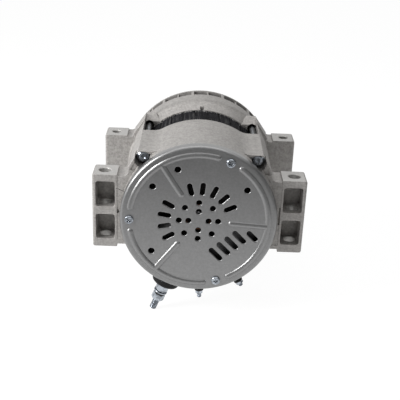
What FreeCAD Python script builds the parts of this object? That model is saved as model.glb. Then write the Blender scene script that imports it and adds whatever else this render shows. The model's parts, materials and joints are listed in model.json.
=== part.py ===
import FreeCAD, Part
import math
import os

# Heavy-duty alternator with four mounting pads, in millimetres, +Z up.
# Stations are measured along the shaft from the flat face of the rear cover towards the drive end.
# The finished pieces are then moved so that the origin is on the shaft axis at the pulley shoulder.
# Angles turn from +X towards +Z, as seen from behind the rear cover.

# Barrel of the two castings
barrel_radius = 86.5
casting_wall = 4.0
parting = 128.0
cover_depth = 10.0
spigot_length = 3.0
end_wall = 36.0
end_wall_thickness = 5.0
wall_opening_inner = 34.0
wall_opening_margin = 25.5
wall_openings = ((-136.0, 16.0), (-82.0, 20.0), (-27.0, 16.0), (61.0, 9.0))
throat_step = 2.5
front_step_rise = 2.0
front_collar_rise = 4.0
step_slope = 2.0
front_ring_radius = 92.0
front_ring_start = 158.0
front_ring_wall = 4.0
front_face = 200.0
front_wall_thickness = 5.0
front_edge_chamfer = 2.5

# Sheet cover
sheet = 1.5
rim_radius = 4.0
cover_fit = 0.1
cover_screw_margin = 10.6
cover_screw_angles = (65.1, 180.7, 286.9)
cover_screw_radius = 2.5
cover_screw_length = 14.0
cover_screw_head_radius = 5.0
cover_screw_head_height = 2.6
cover_screw_head_chamfer = 1.2
cover_recess_length = 5.6
cover_recess_width = 1.1
cover_recess_depth = 1.7
cover_recess_turns = (20.0, 45.0, 5.0)
cover_boss_radius = 6.0
bead_height = 1.5
bead_width = 6.9
bead_crown = 1.8
bead_margin = 10.3
bead_gap_angle = 10.8
spoke_inner = 36.2
spoke_angles = (123.0, -3.4, 232.4)
outer_vent_circle = 21.5
inner_vent_circle = 11.1
vent_radius = 3.1
slot_circle = 37.8
slot_length = 14.5
slot_width = 5.3
slot_angles = (25, 45, 65, 85, 105, 151, 171, 191, 211)
access_margin = 22.6
access_radius = 3.4
access_angles = (112.2, 142.6, 36.5, 217.0)
louvre_length = 19.4
short_louvre_length = 15.4
louvre_angle = -45.0
louvre_first = (20.6, -40.1)
louvre_step = (8.38, 7.27)
louvre_count = 4
short_louvre = (60.0, -16.6)

# Through bolts and the ears that they pass through
bolt_offset = 1.5
bolt_angle = 44.5
bolt_radius = 4.0
bolt_end = 146.0
bolt_hole_margin = 2.0
bolt_floor = 38.0
bolt_clearance = 0.05
bolt_flange_radius = 8.5
bolt_flange_thickness = 2.0
bolt_head_height = 6.5
bolt_head_flats = 13.0
counterbore_gap = 0.8
scallop_wall = 2.0
ear_start = 20.0
ear_inner_x = 42.0
ear_rise = 9.7
ear_corner = 5.2
ear_reach = 15.6
ear_side_drop = 9.7
ear_foot_drop = 25.0
ear_skin = 2.6
front_ear_rise = 14.3
front_ear_corner = 3.2
front_ear_reach = 18.0
front_ear_side_drop = 6.7
front_ear_end = 152.0
lower_boss_radius = 8.0
lower_boss_start = 30.0

# Window over the stator
window_start = 93.0
window_past_parting = 13.0
window_end_wall = 4.6
window_floor = 48.5
notch_width = 5.0
notch_depth = 5.0
notch_offset = 0.9

# Mounting lugs
hole_spacing_x = 210.0
hole_spacing_y = 134.0
rear_pad_start = 18.0
pad_depth = 30.0
pad_inner_margin = 14.2
pad_outer_margin = 13.2
pad_top = 43.5
pad_bottom = -43.3
pad_edge = 2.5
web_top = 41.7
web_bottom = -39.8
web_recess = 2.5
web_fillet = 7.0
web_ledge = 4.5
web_root_margin = 25.0
pocket_inner_wall = 2.2
pocket_outer_wall = 3.7
pocket_back_wall = 4.0
pocket_top_wall = 8.0
pocket_bottom_wall = 9.5
pocket_rib = 9.0
pocket_corner = 3.0
rear_hole_radius = 6.75
front_hole_radius = 5.4
hole_chamfer = 0.8

# Air outlets round the front ring and inlets in the front wall
vent_start = 179.0
vent_end = 195.0
vent_overshoot = 0.5
vent_count = 15
vent_rib = 3.0
vent_centre_angle = 85.0
thin_rib = 1.6
thin_rib_inset = 0.8
thin_rib_height = 2.0
inlet_count = 8
inlet_inner = 46.0
inlet_margin = 18.0
inlet_arm = 11.0
wall_rib = 4.0
wall_rib_margin = 4.0

# Stator
core_start = 90.0
core_end = 146.0
core_fit = 0.05
core_height = 22.5
core_slots = 36
core_slot_depth = 14.0
core_slot_width = 4.6
core_notch_width = 2.4
core_notch_depth = 1.0
winding_gap = 0.2
winding_overhang = 20.0
winding_inner_margin = 2.5
winding_outer_margin = 4.5
winding_chamfer = 4.0

# Rotor
air_gap = 0.6
pole_start = 84.0
pole_end = 152.0
pole_plate = 15.0
coil_depth = 20.0
finger_count = 6
finger_thickness = 11.0
finger_base_width = 30.0
finger_tip_width = 12.0
finger_end_gap = 4.0
finger_clearance = 3.4
coil_flange = 1.6
coil_gap = 0.4
bobbin_wall = 1.6
shaft_start = 8.0
collar_length = 9.5
collar_wall = 3.5
seat_length = 25.0
thread_length = 16.0
slip_journal = 7.5
rear_journal = 8.5
rotor_journal = 12.5
pulley_journal = 11.0
thread_radius = 8.0
shaft_chamfer = 1.0
key_width = 5.0
key_length = 18.0
key_depth = 3.0
key_offset = 3.0

# Fans
fan_sheet = 2.0
front_fan_station = 170.0
front_fan_clearance = 4.0
front_fan_inner = 50.0
front_fan_height = 19.0
front_fan_blades = 11
rear_fan_clearance = 2.0
rear_fan_inner = 33.0
rear_fan_height = 14.0
rear_fan_blades = 9
blade_lean = 22.0
blade_thickness = 3.0
fan_spacer_radius = 18.0
bearing_spacer_wall = 3.0

# Bearings
front_bearing_start = 186.5
front_bearing_width = 17.0
front_bearing_outer = 31.0
front_race_gap = 8.6
rear_bearing_start = 38.0
rear_bearing_width = 12.0
rear_bearing_outer = 20.0
rear_race_gap = 5.1
shield_gap = 0.35
shield_thickness = 0.8
boss_wall = 6.0
front_boss_wall = 9.0
bearing_lip = 2.5
front_lip_radius = 23.5
rear_lip_radius = 15.0
seat_fit = 0.02

# Slip rings, brushes and their holder
slip_hub_radius = 12.5
slip_ring_radius = 15.0
slip_ring_width = 6.0
slip_ring_starts = (11.0, 21.0)
slip_hub_start = 9.0
slip_hub_end = 34.0
brush_angle = 151.0
brush_width = 7.0
brush_length = 14.0
brush_thickness = 5.0
brush_gap = 0.05
brush_fit = 0.2
holder_inner = 18.0
holder_outer = 45.0
holder_width = 17.0
holder_start = 8.5
holder_foot_width = 34.0
holder_foot_length = 9.0
holder_foot_thickness = 5.0
spring_thickness = 0.8
small_screw_radius = 2.0
small_screw_flats = 7.0
small_screw_head_height = 2.6
small_screw_depth = 4.0

# Rectifier, regulator and capacitor
plate_inner = 31.0
plate_margin = 15.5
plate_first = -168.0
plate_last = 8.0
plate_thickness = 3.0
positive_plate_start = 11.0
negative_plate_start = 25.0
post_margin = 5.0
post_angles = (-160.0, -111.5, -52.0, -2.0)
post_flats = 8.0
diode_circle = 44.0
diode_radius = 5.2
diode_height = 5.0
diode_angles = (-140, -82, -24)
diode_stagger = 28.0
regulator_angle = 95.0
regulator_inner = 36.0
regulator_margin = 18.5
regulator_width = 34.0
regulator_height = 14.0
regulator_fin = 2.0
regulator_groove_depth = 4.7
regulator_foot = 7.0
capacitor_angle = 35.0
capacitor_margin = 30.5
capacitor_radius = 8.0
capacitor_height = 22.0
capacitor_foot_thickness = 1.5
capacitor_foot_span = 12.0

# Output stud and the two signal studs
output_angle = -111.5
output_station = 26.0
output_boss_radius = 15.0
terminal_boss_rise = 1.5
output_insulator_radius = 13.5
output_insulator_height = 10.5
output_sleeve_radius = 6.4
output_stud_radius = 4.0
output_stud_free = 13.5
output_head_radius = 7.0
output_head_height = 4.0
thread_relief = 0.2
nut_flats = 13.0
jam_nut_height = 11.5
nut_height = 8.5
washer_radius = 8.0
spring_washer_radius = 7.0
washer_thickness = 2.0
strap_thickness = 1.6
strap_width = 14.0
signal_angles = (-87.5, -59.0)
signal_station = 17.0
signal_boss_radius = 6.5
signal_insulator_radius = 5.0
signal_insulator_height = 5.5
signal_sleeve_radius = 3.9
signal_stud_radius = 2.5
signal_studs_free = (5.6, 3.1)
signal_head_radius = 4.2
signal_head_height = 2.5
signal_washer_radius = 5.2
signal_washer_thickness = 1.4
signal_nut_flats = 8.0
signal_nut_height = 4.0

# Values that follow from the sizes above
over = 1.0
touch = 0.01
bay_radius = barrel_radius - casting_wall
throat_radius = bay_radius - throat_step
window_end = parting + window_past_parting
wall_opening_outer = bay_radius - wall_opening_margin
front_step_radius = barrel_radius + front_step_rise
front_collar_radius = barrel_radius + front_collar_rise
ring_inner = front_ring_radius - front_ring_wall
inlet_outer = ring_inner - inlet_margin
cover_screw_circle = barrel_radius - cover_screw_margin
bead_circle = barrel_radius - bead_margin
access_circle = barrel_radius - access_margin
bolt_circle = barrel_radius + bolt_offset
bolt_x = bolt_circle * math.cos(math.radians(bolt_angle))
bolt_z = bolt_circle * math.sin(math.radians(bolt_angle))
bolt_places = ((bolt_x, bolt_z), (-bolt_x, bolt_z), (-bolt_x, -bolt_z), (bolt_x, -bolt_z))
bolt_hole = bolt_radius + bolt_clearance
counterbore = bolt_flange_radius + counterbore_gap
hole_x = hole_spacing_x / 2
front_pad_start = rear_pad_start + hole_spacing_y
pad_inner = hole_x - pad_inner_margin
pad_outer = hole_x + pad_outer_margin
core_bore = bay_radius - core_height
winding_inner = core_bore + winding_inner_margin
winding_outer = bay_radius - winding_outer_margin
rotor_radius = core_bore - air_gap
finger_inner = rotor_radius - finger_thickness
coil_outer = finger_inner - finger_clearance
pole_hub_radius = coil_outer - coil_depth
front_fan_radius = ring_inner - front_fan_clearance
rear_fan_radius = core_bore - rear_fan_clearance
plate_outer = bay_radius - plate_margin
post_circle = plate_outer - post_margin
regulator_outer = bay_radius - regulator_margin
capacitor_circle = bay_radius - capacitor_margin
front_bearing_end = front_bearing_start + front_bearing_width
rear_bearing_end = rear_bearing_start + rear_bearing_width
front_boss_radius = front_bearing_outer + front_boss_wall
pulley_shoulder = front_bearing_end + collar_length
thread_start = pulley_shoulder + seat_length
shaft_end = thread_start + thread_length
key_start = pulley_shoulder + key_offset
wall_back = end_wall + end_wall_thickness
terminal_seat = barrel_radius + terminal_boss_rise
output_nut_seat = terminal_seat + output_insulator_height + jam_nut_height + 2 * washer_thickness
output_nut_end = output_nut_seat + nut_height
output_stud_reach = output_nut_end + output_stud_free
signal_nut_seat = terminal_seat + signal_insulator_height + signal_washer_thickness
signal_nut_end = signal_nut_seat + signal_nut_height

CENTRE = FreeCAD.Vector(0, 0, 0)
ALONG = FreeCAD.Vector(0, 1, 0)
SIDEWAYS = FreeCAD.Vector(1, 0, 0)
UP = FreeCAD.Vector(0, 0, 1)


def polar(radius, angle):
    """X and Z of a point at a radius and angle about the shaft axis."""
    turn = math.radians(angle)
    return radius * math.cos(turn), radius * math.sin(turn)


def rod(radius, start, end, x=0.0, z=0.0):
    """Round bar along the shaft direction, between two stations."""
    return Part.makeCylinder(radius, end - start, FreeCAD.Vector(x, start, z), ALONG)


def tube(outer, inner, start, end, x=0.0, z=0.0):
    """Round tube along the shaft direction, between two stations."""
    return rod(outer, start, end, x, z).cut(rod(inner, start - over, end + over, x, z))


def turned(corners):
    """Solid turned about the shaft axis from (radius, station) corners."""
    wire = Part.makePolygon([FreeCAD.Vector(r, y, 0) for r, y in corners + corners[:1]])
    return Part.Face(wire).revolve(CENTRE, ALONG, 360)


def block(x0, x1, y0, y1, z0, z1):
    """Square-edged block between its corner coordinates."""
    return Part.makeBox(x1 - x0, y1 - y0, z1 - z0, FreeCAD.Vector(x0, y0, z0))


def soft_block(x0, x1, y0, y1, z0, z1, radius):
    """Block with its four edges along the shaft direction rounded."""
    shape = block(x0, x1, y0, y1, z0, z1)
    edges = [e for e in shape.Edges if abs(e.tangentAt(e.FirstParameter).dot(ALONG)) > 0.99]
    return shape.makeFillet(radius, edges)


def prism(corners, start, end, inset=0.0):
    """Prism along the shaft direction from (x, z) corners, drawn in on all sides by the inset."""
    wire = Part.makePolygon([FreeCAD.Vector(x, start, z) for x, z in corners + corners[:1]])
    if inset:
        wire = wire.makeOffset2D(-inset, 2)
    return Part.Face(wire).extrude(FreeCAD.Vector(0, end - start, 0))


def sector(outer, inner, first, last, start, end):
    """Part of a ring between two angles and two stations."""
    def at(radius, angle):
        x, z = polar(radius, angle)
        return FreeCAD.Vector(x, start, z)

    middle = (first + last) / 2
    edges = [
        Part.LineSegment(at(inner, first), at(outer, first)),
        Part.Arc(at(outer, first), at(outer, middle), at(outer, last)),
        Part.LineSegment(at(outer, last), at(inner, last)),
        Part.Arc(at(inner, last), at(inner, middle), at(inner, first)),
    ]
    face = Part.Face(Part.Wire([edge.toShape() for edge in edges]))
    return face.extrude(FreeCAD.Vector(0, end - start, 0))


def around(shape, angle):
    """Copy of a shape turned about the shaft axis."""
    copy = shape.copy()
    copy.rotate(CENTRE, -ALONG, angle)
    return copy


def ring_of(shape, angles):
    """Copies of a shape turned to each of the angles."""
    return [around(shape, angle) for angle in angles]


def evenly(count, first=0.0):
    """Angles that share a full turn evenly."""
    return [first + 360.0 * i / count for i in range(count)]


def join(first, *others):
    """One solid from pieces that meet."""
    return first.fuse(list(others)).removeSplitter()


def long_hole(length, width, x, z, angle, start, end):
    """Cutter for a round-ended slot along the shaft direction."""
    half = (length - width) / 2
    radius = width / 2
    flat = block(-half, half, start, end, -radius, radius)
    shape = join(flat, rod(radius, start, end, -half), rod(radius, start, end, half))
    shape.rotate(CENTRE, -ALONG, angle)
    shape.translate(FreeCAD.Vector(x, 0, z))
    return shape


def outward(shape, angle, station, radius):
    """Shape drawn on +Z, placed to point away from the shaft at an angle, with its base at a radius."""
    x, z = polar(radius, angle)
    turn = FreeCAD.Rotation(-ALONG, angle - 90.0)
    copy = shape.copy()
    copy.Placement = FreeCAD.Placement(FreeCAD.Vector(x, station, z), turn)
    return copy


def hexagon(flats, height):
    """Hexagonal bar standing on +Z."""
    corner = flats / math.sqrt(3)
    points = [FreeCAD.Vector(*polar(corner, angle), 0) for angle in evenly(6)]
    return Part.Face(Part.makePolygon(points + points[:1])).extrude(UP * height)


def hexagon_along(flats, start, end, x, z):
    """Hexagonal bar along the shaft direction."""
    shape = hexagon(flats, end - start)
    shape.Placement = FreeCAD.Placement(FreeCAD.Vector(x, start, z), FreeCAD.Rotation(SIDEWAYS, -90))
    return shape


def washer(outer, inner, height):
    """Flat ring standing on +Z."""
    return Part.makeCylinder(outer, height).cut(Part.makeCylinder(inner, height + over))


def turned_about(corners, x, z):
    """Solid turned about an axis parallel to the shaft, from (radius, station) corners."""
    shape = turned(corners)
    shape.translate(FreeCAD.Vector(x, 0, z))
    return shape


def make_beads():
    """Raised beads of the cover: three arcs between the screws and a spoke from each towards the centre."""
    foot, crown = bead_width / 2, bead_crown / 2
    section = [(-foot, sheet / 2), (-foot, 0), (-crown, -bead_height), (crown, -bead_height), (foot, 0),
               (foot, sheet / 2)]
    end = [(0, sheet / 2), (foot, sheet / 2), (foot, 0), (crown, -bead_height), (0, -bead_height)]
    beads = []
    for i, screw in enumerate(cover_screw_angles):
        following = cover_screw_angles[(i + 1) % 3] + (360 if i == 2 else 0)
        first, last = screw + bead_gap_angle, following - bead_gap_angle
        points = [FreeCAD.Vector(bead_circle + r, y, 0) for r, y in section + section[:1]]
        arc = Part.Face(Part.makePolygon(points)).revolve(CENTRE, -ALONG, last - first)
        beads.append(around(arc, first))
        beads += [turned_about(end, *polar(bead_circle, angle)) for angle in (first, last)]
    for angle in spoke_angles:
        points = [FreeCAD.Vector(spoke_inner, y, side) for side, y in section + section[:1]]
        spoke = Part.Face(Part.makePolygon(points)).extrude(SIDEWAYS * (bead_circle - spoke_inner))
        beads += [around(spoke, angle), turned_about(end, *polar(spoke_inner, angle))]
    return beads


def make_rear_cover():
    """Pressed sheet cover: flat face, rounded rim, skirt, raised beads and air openings."""
    flat = barrel_radius - rim_radius
    bend = math.sqrt(0.5)
    inside = rim_radius - sheet
    shell = turned([
        (0, 0), (flat, 0), (flat + rim_radius * bend, rim_radius * (1 - bend)),
        (barrel_radius, rim_radius), (barrel_radius, cover_depth),
        (barrel_radius - sheet, cover_depth), (barrel_radius - sheet, rim_radius),
        (flat + inside * bend, rim_radius - inside * bend), (flat, sheet), (0, sheet),
    ])
    raised = make_beads()
    hollow = make_beads()
    for bead in hollow:
        bead.translate(ALONG * sheet)
    shell = shell.fuse(raised).cut(hollow)
    low, high = -bead_height - over, sheet + over
    cuts = []
    for count, circle in ((8, outer_vent_circle), (4, inner_vent_circle)):
        cuts += [rod(vent_radius, low, high, *polar(circle, angle)) for angle in evenly(count)]
    for angle in slot_angles:
        cuts.append(long_hole(slot_length, slot_width, *polar(slot_circle, angle), angle, low, high))
    cuts += [rod(access_radius, low, high, *polar(access_circle, angle)) for angle in access_angles]
    for i in range(louvre_count):
        x = louvre_first[0] + i * louvre_step[0]
        z = louvre_first[1] + i * louvre_step[1]
        cuts.append(long_hole(louvre_length, slot_width, x, z, louvre_angle, low, high))
    cuts.append(long_hole(short_louvre_length, slot_width, *short_louvre, louvre_angle, low, high))
    for angle in cover_screw_angles:
        cuts.append(rod(cover_screw_radius + cover_fit, low, high, *polar(cover_screw_circle, angle)))
    return shell.cut(cuts)


def make_cover_screws():
    """Three pan-head screws with a cross recess."""
    face = -cover_screw_head_height
    side = cover_screw_head_chamfer
    profile = [
        (0, face), (cover_screw_head_radius - side, face), (cover_screw_head_radius, face + side),
        (cover_screw_head_radius, 0), (cover_screw_radius, 0), (cover_screw_radius, cover_screw_length),
        (0, cover_screw_length),
    ]
    arm, thin = cover_recess_length / 2, cover_recess_width / 2
    screws = []
    for angle, recess_turn in zip(cover_screw_angles, cover_recess_turns):
        x, z = polar(cover_screw_circle, angle)
        low, high = face - over, face + cover_recess_depth
        recess = [block(x - arm, x + arm, low, high, z - thin, z + thin),
                  block(x - thin, x + thin, low, high, z - arm, z + arm)]
        screw = turned_about(profile, x, z).cut(recess)
        screw.rotate(FreeCAD.Vector(x, 0, z), -ALONG, recess_turn)
        screws.append(screw)
    return Part.makeCompound(screws)


def ear_corners(rise, corner, reach, side_drop):
    """Section of the right-hand upper ear round a through bolt."""
    top = bolt_z + rise
    foot = bolt_z - ear_foot_drop
    return [(ear_inner_x, top), (bolt_x + corner, top), (bolt_x + reach, bolt_z - side_drop),
            (bolt_x + reach, foot), (ear_inner_x, foot)]


def lug(near, far, pocket_near, pocket_far, recess, ear_side):
    """Right-hand mounting lug: its pad, the web to the barrel and two pockets."""
    pad = block(pad_inner, pad_outer, near, far, pad_bottom, pad_top)
    edges = [e for e in pad.Edges if abs(e.BoundBox.XMin - pad_outer) < touch]
    pad = pad.makeFillet(pad_edge, edges)
    inner = bay_radius - web_root_margin
    corner = FreeCAD.Vector(ear_side + web_fillet, near + recess, web_top + web_fillet)
    middle = corner - FreeCAD.Vector(1, 0, 1) * (web_fillet * math.sqrt(0.5))
    low_x, high_z = corner.x - web_fillet, corner.z - web_fillet
    points = [
        FreeCAD.Vector(inner, near + recess, corner.z),
        FreeCAD.Vector(inner, near + recess, web_bottom),
        FreeCAD.Vector(pad_inner + over, near + recess, web_bottom),
        FreeCAD.Vector(pad_inner + over, near + recess, high_z),
        FreeCAD.Vector(corner.x, near + recess, high_z),
        FreeCAD.Vector(low_x, near + recess, corner.z),
    ]
    edges = [Part.LineSegment(a, b).toShape() for a, b in zip(points[:4], points[1:5])]
    edges.append(Part.Arc(points[4], middle, points[5]).toShape())
    edges.append(Part.LineSegment(points[5], points[0]).toShape())
    web = Part.Face(Part.Wire(edges)).extrude(FreeCAD.Vector(0, far - near - recess, 0))
    ledge = block(inner, pad_inner + over, near, far, web_bottom, web_bottom + web_ledge)
    body = join(pad, web, ledge)
    split = (pad_top - pocket_top_wall + pad_bottom + pocket_bottom_wall) / 2
    left, right = pad_inner + pocket_inner_wall, pad_outer - pocket_outer_wall
    upper = (split + pocket_rib / 2, pad_top - pocket_top_wall)
    lower = (pad_bottom + pocket_bottom_wall, split - pocket_rib / 2)
    pockets = [soft_block(left, right, pocket_near, pocket_far, low, high, pocket_corner)
               for low, high in (upper, lower)]
    return body.cut(pockets)


def pad_holes(near, radius):
    """Cutters for the upright bolt holes of a pair of lugs, with a chamfer at the top."""
    wide = radius + hole_chamfer
    corners = [(0, pad_bottom - over), (radius, pad_bottom - over), (radius, pad_top - hole_chamfer),
               (wide, pad_top), (wide, pad_top + over), (0, pad_top + over)]
    holes = []
    for x in (-hole_x, hole_x):
        wire = Part.makePolygon([FreeCAD.Vector(r, 0, z) for r, z in corners + corners[:1]])
        hole = Part.Face(wire).revolve(CENTRE, UP, 360)
        hole.translate(FreeCAD.Vector(x, near + pad_depth / 2, 0))
        holes.append(hole)
    return holes


def mirrored(shape):
    """The same shape on the other side of the shaft."""
    return shape.mirror(CENTRE, SIDEWAYS)


def bearing_seat(outer, start, end, wall, lip_radius, lip_start, lip_end):
    """Boss for a bearing, and the cutters for its seat and for the opening in its lip."""
    boss = rod(outer + wall, min(start, lip_start), max(end, lip_end))
    opening = rod(lip_radius, lip_start - over, lip_end + over)
    return boss, [rod(outer + seat_fit, start, end), opening]


def make_rear_housing():
    """Rear casting: barrel, end wall with bearing boss, two lugs, ears, screw bosses and terminal bosses."""
    spigot = rod(barrel_radius - sheet - cover_fit, cover_depth - spigot_length, cover_depth)
    section = ear_corners(ear_rise, ear_corner, ear_reach, ear_side_drop)
    ear = prism(section, ear_start, parting)
    hollow = prism(section, ear_start - over, bolt_floor, ear_skin).cut(rod(barrel_radius, 0, parting))
    ear = ear.cut(hollow)
    right_lug = lug(rear_pad_start, rear_pad_start + pad_depth, rear_pad_start - over,
                    rear_pad_start + pad_depth - pocket_back_wall, web_recess, bolt_x + ear_reach)
    shape = rod(barrel_radius, cover_depth, parting)
    lower = [rod(lower_boss_radius, lower_boss_start, parting, x, z) for x, z in bolt_places[2:]]
    bosses = [outward(Part.makeCylinder(output_boss_radius, casting_wall + terminal_boss_rise),
                      output_angle, output_station, bay_radius)]
    for angle in signal_angles:
        bosses.append(outward(Part.makeCylinder(signal_boss_radius, casting_wall + terminal_boss_rise),
                              angle, signal_station, bay_radius))
    shape = join(shape, spigot, ear, mirrored(ear), right_lug, mirrored(right_lug), *lower, *bosses)
    shape = shape.cut([
        rod(bay_radius, 0, end_wall),
        rod(throat_radius, wall_back, core_start + over),
        rod(bay_radius, core_start, parting + over),
    ])
    boss, seat = bearing_seat(rear_bearing_outer, rear_bearing_start, rear_bearing_end + over, boss_wall,
                              rear_lip_radius, end_wall, rear_bearing_start)
    screw_bosses = []
    for angle in cover_screw_angles:
        x, z = polar(cover_screw_circle, angle)
        screw_bosses.append(rod(cover_boss_radius, sheet, end_wall + over, x, z))
    scallops = []
    for x, z in bolt_places:
        scallop = rod(counterbore + scallop_wall, cover_depth, bolt_floor + scallop_wall, x, z)
        scallops.append(scallop.common(rod(barrel_radius, 0, parting)))
    shape = join(shape, boss, *screw_bosses, *scallops)
    cuts = seat + pad_holes(rear_pad_start, rear_hole_radius)
    for angle, half_width in wall_openings:
        cuts.append(sector(wall_opening_outer, wall_opening_inner, angle - half_width, angle + half_width,
                           end_wall - over, wall_back + over))
    for angle in cover_screw_angles:
        x, z = polar(cover_screw_circle, angle)
        cuts.append(rod(cover_screw_radius + bolt_clearance, 0, cover_screw_length + over, x, z))
    for x, z in bolt_places:
        cuts.append(rod(bolt_hole, 0, parting + over, x, z))
        cuts.append(rod(counterbore, 0, bolt_floor, x, z))
    half = bolt_x + window_end_wall
    cuts.append(block(-half, half, window_start, parting + over, window_floor, bolt_circle * 2))
    through = casting_wall + terminal_boss_rise + 2 * over
    cuts.append(outward(Part.makeCylinder(output_sleeve_radius + bolt_clearance, through),
                        output_angle, output_station, bay_radius - over))
    for angle in signal_angles:
        cuts.append(outward(Part.makeCylinder(signal_sleeve_radius + bolt_clearance, through),
                            angle, signal_station, bay_radius - over))
    shape = shape.cut(cuts)
    return shape.cut(post_holes())


def make_front_housing():
    """Front casting: stepped barrel, vented ring, spoked front wall, bearing boss, ears and two lugs."""
    step = front_step_radius
    profile = [
        (0, parting), (step, parting), (step, front_ear_end - step_slope),
        (front_collar_radius, front_ear_end), (front_collar_radius, front_ring_start - step_slope),
        (front_ring_radius, front_ring_start), (front_ring_radius, front_face - front_edge_chamfer),
        (front_ring_radius - front_edge_chamfer, front_face), (0, front_face),
    ]
    shape = turned(profile)
    section = ear_corners(front_ear_rise, front_ear_corner, front_ear_reach, front_ear_side_drop)
    ear = prism(section, parting, front_ear_end)
    far = front_pad_start + pad_depth
    right_lug = lug(front_pad_start, far, front_pad_start + pocket_back_wall, far + over, 0.0,
                    bolt_x + front_ear_reach)
    lower = [rod(lower_boss_radius + over, parting, front_ear_end, x, z) for x, z in bolt_places[2:]]
    shape = join(shape, ear, mirrored(ear), right_lug, mirrored(right_lug), *lower)
    cavity = turned([
        (0, parting - over), (bay_radius, parting - over), (bay_radius, core_end), (throat_radius, core_end),
        (throat_radius, core_end + step_slope), (ring_inner, front_ring_start + step_slope),
        (ring_inner, front_face - front_wall_thickness), (0, front_face - front_wall_thickness),
    ])
    shape = shape.cut(cavity)
    lip_end = front_bearing_end + bearing_lip
    boss, seat = bearing_seat(front_bearing_outer, front_bearing_start - over, front_bearing_end,
                              front_boss_wall, front_lip_radius, front_bearing_end, lip_end)
    boss = boss.cut(rod(front_boss_radius + over, 0, front_bearing_start))
    pitch = 360.0 / inlet_count
    ribs = []
    for angle in evenly(inlet_count, pitch / 2):
        rib = block(front_boss_radius - over, ring_inner - wall_rib_margin, front_face,
                    front_face + bearing_lip, -wall_rib / 2, wall_rib / 2)
        ribs.append(around(rib, angle))
    shape = join(shape, boss, *ribs)
    cuts = seat + pad_holes(front_pad_start, front_hole_radius)
    arm = math.degrees(inlet_arm / 2 / inlet_outer)
    for angle in evenly(inlet_count):
        cuts.append(sector(inlet_outer, inlet_inner, angle - pitch / 2 + arm, angle + pitch / 2 - arm,
                           front_face - front_wall_thickness - over, front_face + over))
    vent_pitch = 360.0 / vent_count
    rib_half = math.degrees(vent_rib / 2 / ring_inner)
    for angle in evenly(vent_count, vent_centre_angle):
        half_vent = vent_pitch / 2 - rib_half
        cuts.append(sector(front_ring_radius + vent_overshoot, ring_inner - over, angle - half_vent,
                           angle + half_vent, vent_start, vent_end))
    for x, z in bolt_places:
        cuts.append(rod(bolt_hole, parting - over, bolt_end + bolt_hole_margin, x, z))
    half = bolt_x + window_end_wall
    cuts.append(block(-half, half, parting - over, window_end, window_floor, bolt_circle * 2))
    cuts.append(block(notch_offset - notch_width / 2, notch_offset + notch_width / 2, window_end - over,
                      window_end + notch_depth, bay_radius - over, front_ring_radius))
    shape = shape.cut(cuts)
    inside = ring_inner + thin_rib_inset
    thin = block(inside, inside + thin_rib_height, vent_start - over, vent_end + over,
                 -thin_rib / 2, thin_rib / 2)
    return join(shape, *ring_of(thin, evenly(vent_count, vent_centre_angle)))


def make_through_bolts():
    """Four hexagon flange bolts that clamp the castings and the stator."""
    bolts = []
    for x, z in bolt_places:
        flange_start = bolt_floor - bolt_flange_thickness
        head = hexagon_along(bolt_head_flats, flange_start - bolt_head_height, flange_start, x, z)
        flange = rod(bolt_flange_radius, flange_start, bolt_floor, x, z)
        bolts.append(join(head, flange, rod(bolt_radius, bolt_floor, bolt_end, x, z)))
    return Part.makeCompound(bolts)


def make_stator_core():
    """Laminated ring with winding slots inside and shallow grooves outside."""
    shape = tube(bay_radius - core_fit, core_bore, core_start, core_end)
    low, high = core_start - over, core_end + over
    slot = block(core_bore - over, core_bore + core_slot_depth, low, high,
                 -core_slot_width / 2, core_slot_width / 2)
    groove = block(bay_radius - core_fit - core_notch_depth, bay_radius + over, low, high,
                   -core_notch_width / 2, core_notch_width / 2)
    half_pitch = 180.0 / core_slots
    return shape.cut(ring_of(slot, evenly(core_slots)) + ring_of(groove, evenly(core_slots, half_pitch)))


def make_stator_windings():
    """Two end crowns and the bars in the core's slots that join them."""
    rear_face, front_edge = core_start - winding_gap, core_end + winding_gap
    crowns = []
    for face, side in ((rear_face, -1), (front_edge, 1)):
        tip = face + side * (winding_overhang - winding_gap)
        crowns.append(turned([
            (winding_inner, face), (winding_outer, face), (winding_outer, tip - side * winding_chamfer),
            (winding_outer - winding_chamfer, tip), (winding_inner + winding_chamfer, tip),
            (winding_inner, tip - side * winding_chamfer),
        ]))
    half = core_slot_width / 2 - winding_gap
    bar = block(winding_inner, core_bore + core_slot_depth - winding_gap, rear_face, front_edge, -half, half)
    return Part.makeCompound(crowns + ring_of(bar, evenly(core_slots)))


def claw_pole(plate_start, plate_end, tip, hub_end, first_angle):
    """Pole plate with tapered fingers and its half of the hub."""
    low, high = min(plate_start, plate_end), max(plate_start, plate_end)
    plate = rod(coil_outer + over, low, high)
    hub = rod(pole_hub_radius, min(low, hub_end), max(high, hub_end))

    def outline(station, width):
        points = [(coil_outer, -width / 2), (barrel_radius, -width / 2), (barrel_radius, width / 2),
                  (coil_outer, width / 2)]
        corners = [FreeCAD.Vector(x, station, z) for x, z in points]
        return Part.makePolygon(corners + corners[:1])

    finger = Part.makeLoft([outline(plate_start, finger_base_width), outline(tip, finger_tip_width)], True)
    ring = tube(rotor_radius, finger_inner, 0, front_face)
    root = tube(rotor_radius, coil_outer, low, high)
    finger = finger.common(ring.fuse(root))
    shape = join(plate, hub, *ring_of(finger, evenly(finger_count, first_angle)))
    return shape.cut(rod(rotor_journal, 0, front_face))


def make_bobbin():
    """Spool that carries the field coil between the pole plates."""
    start, end = pole_start + pole_plate + coil_gap, pole_end - pole_plate - coil_gap
    inner = pole_hub_radius + coil_gap / 2
    barrel = rod(inner + bobbin_wall, start, end)
    flanges = [rod(coil_outer, start, start + coil_flange), rod(coil_outer, end - coil_flange, end)]
    return join(barrel, *flanges).cut(rod(inner, 0, front_face))


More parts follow.
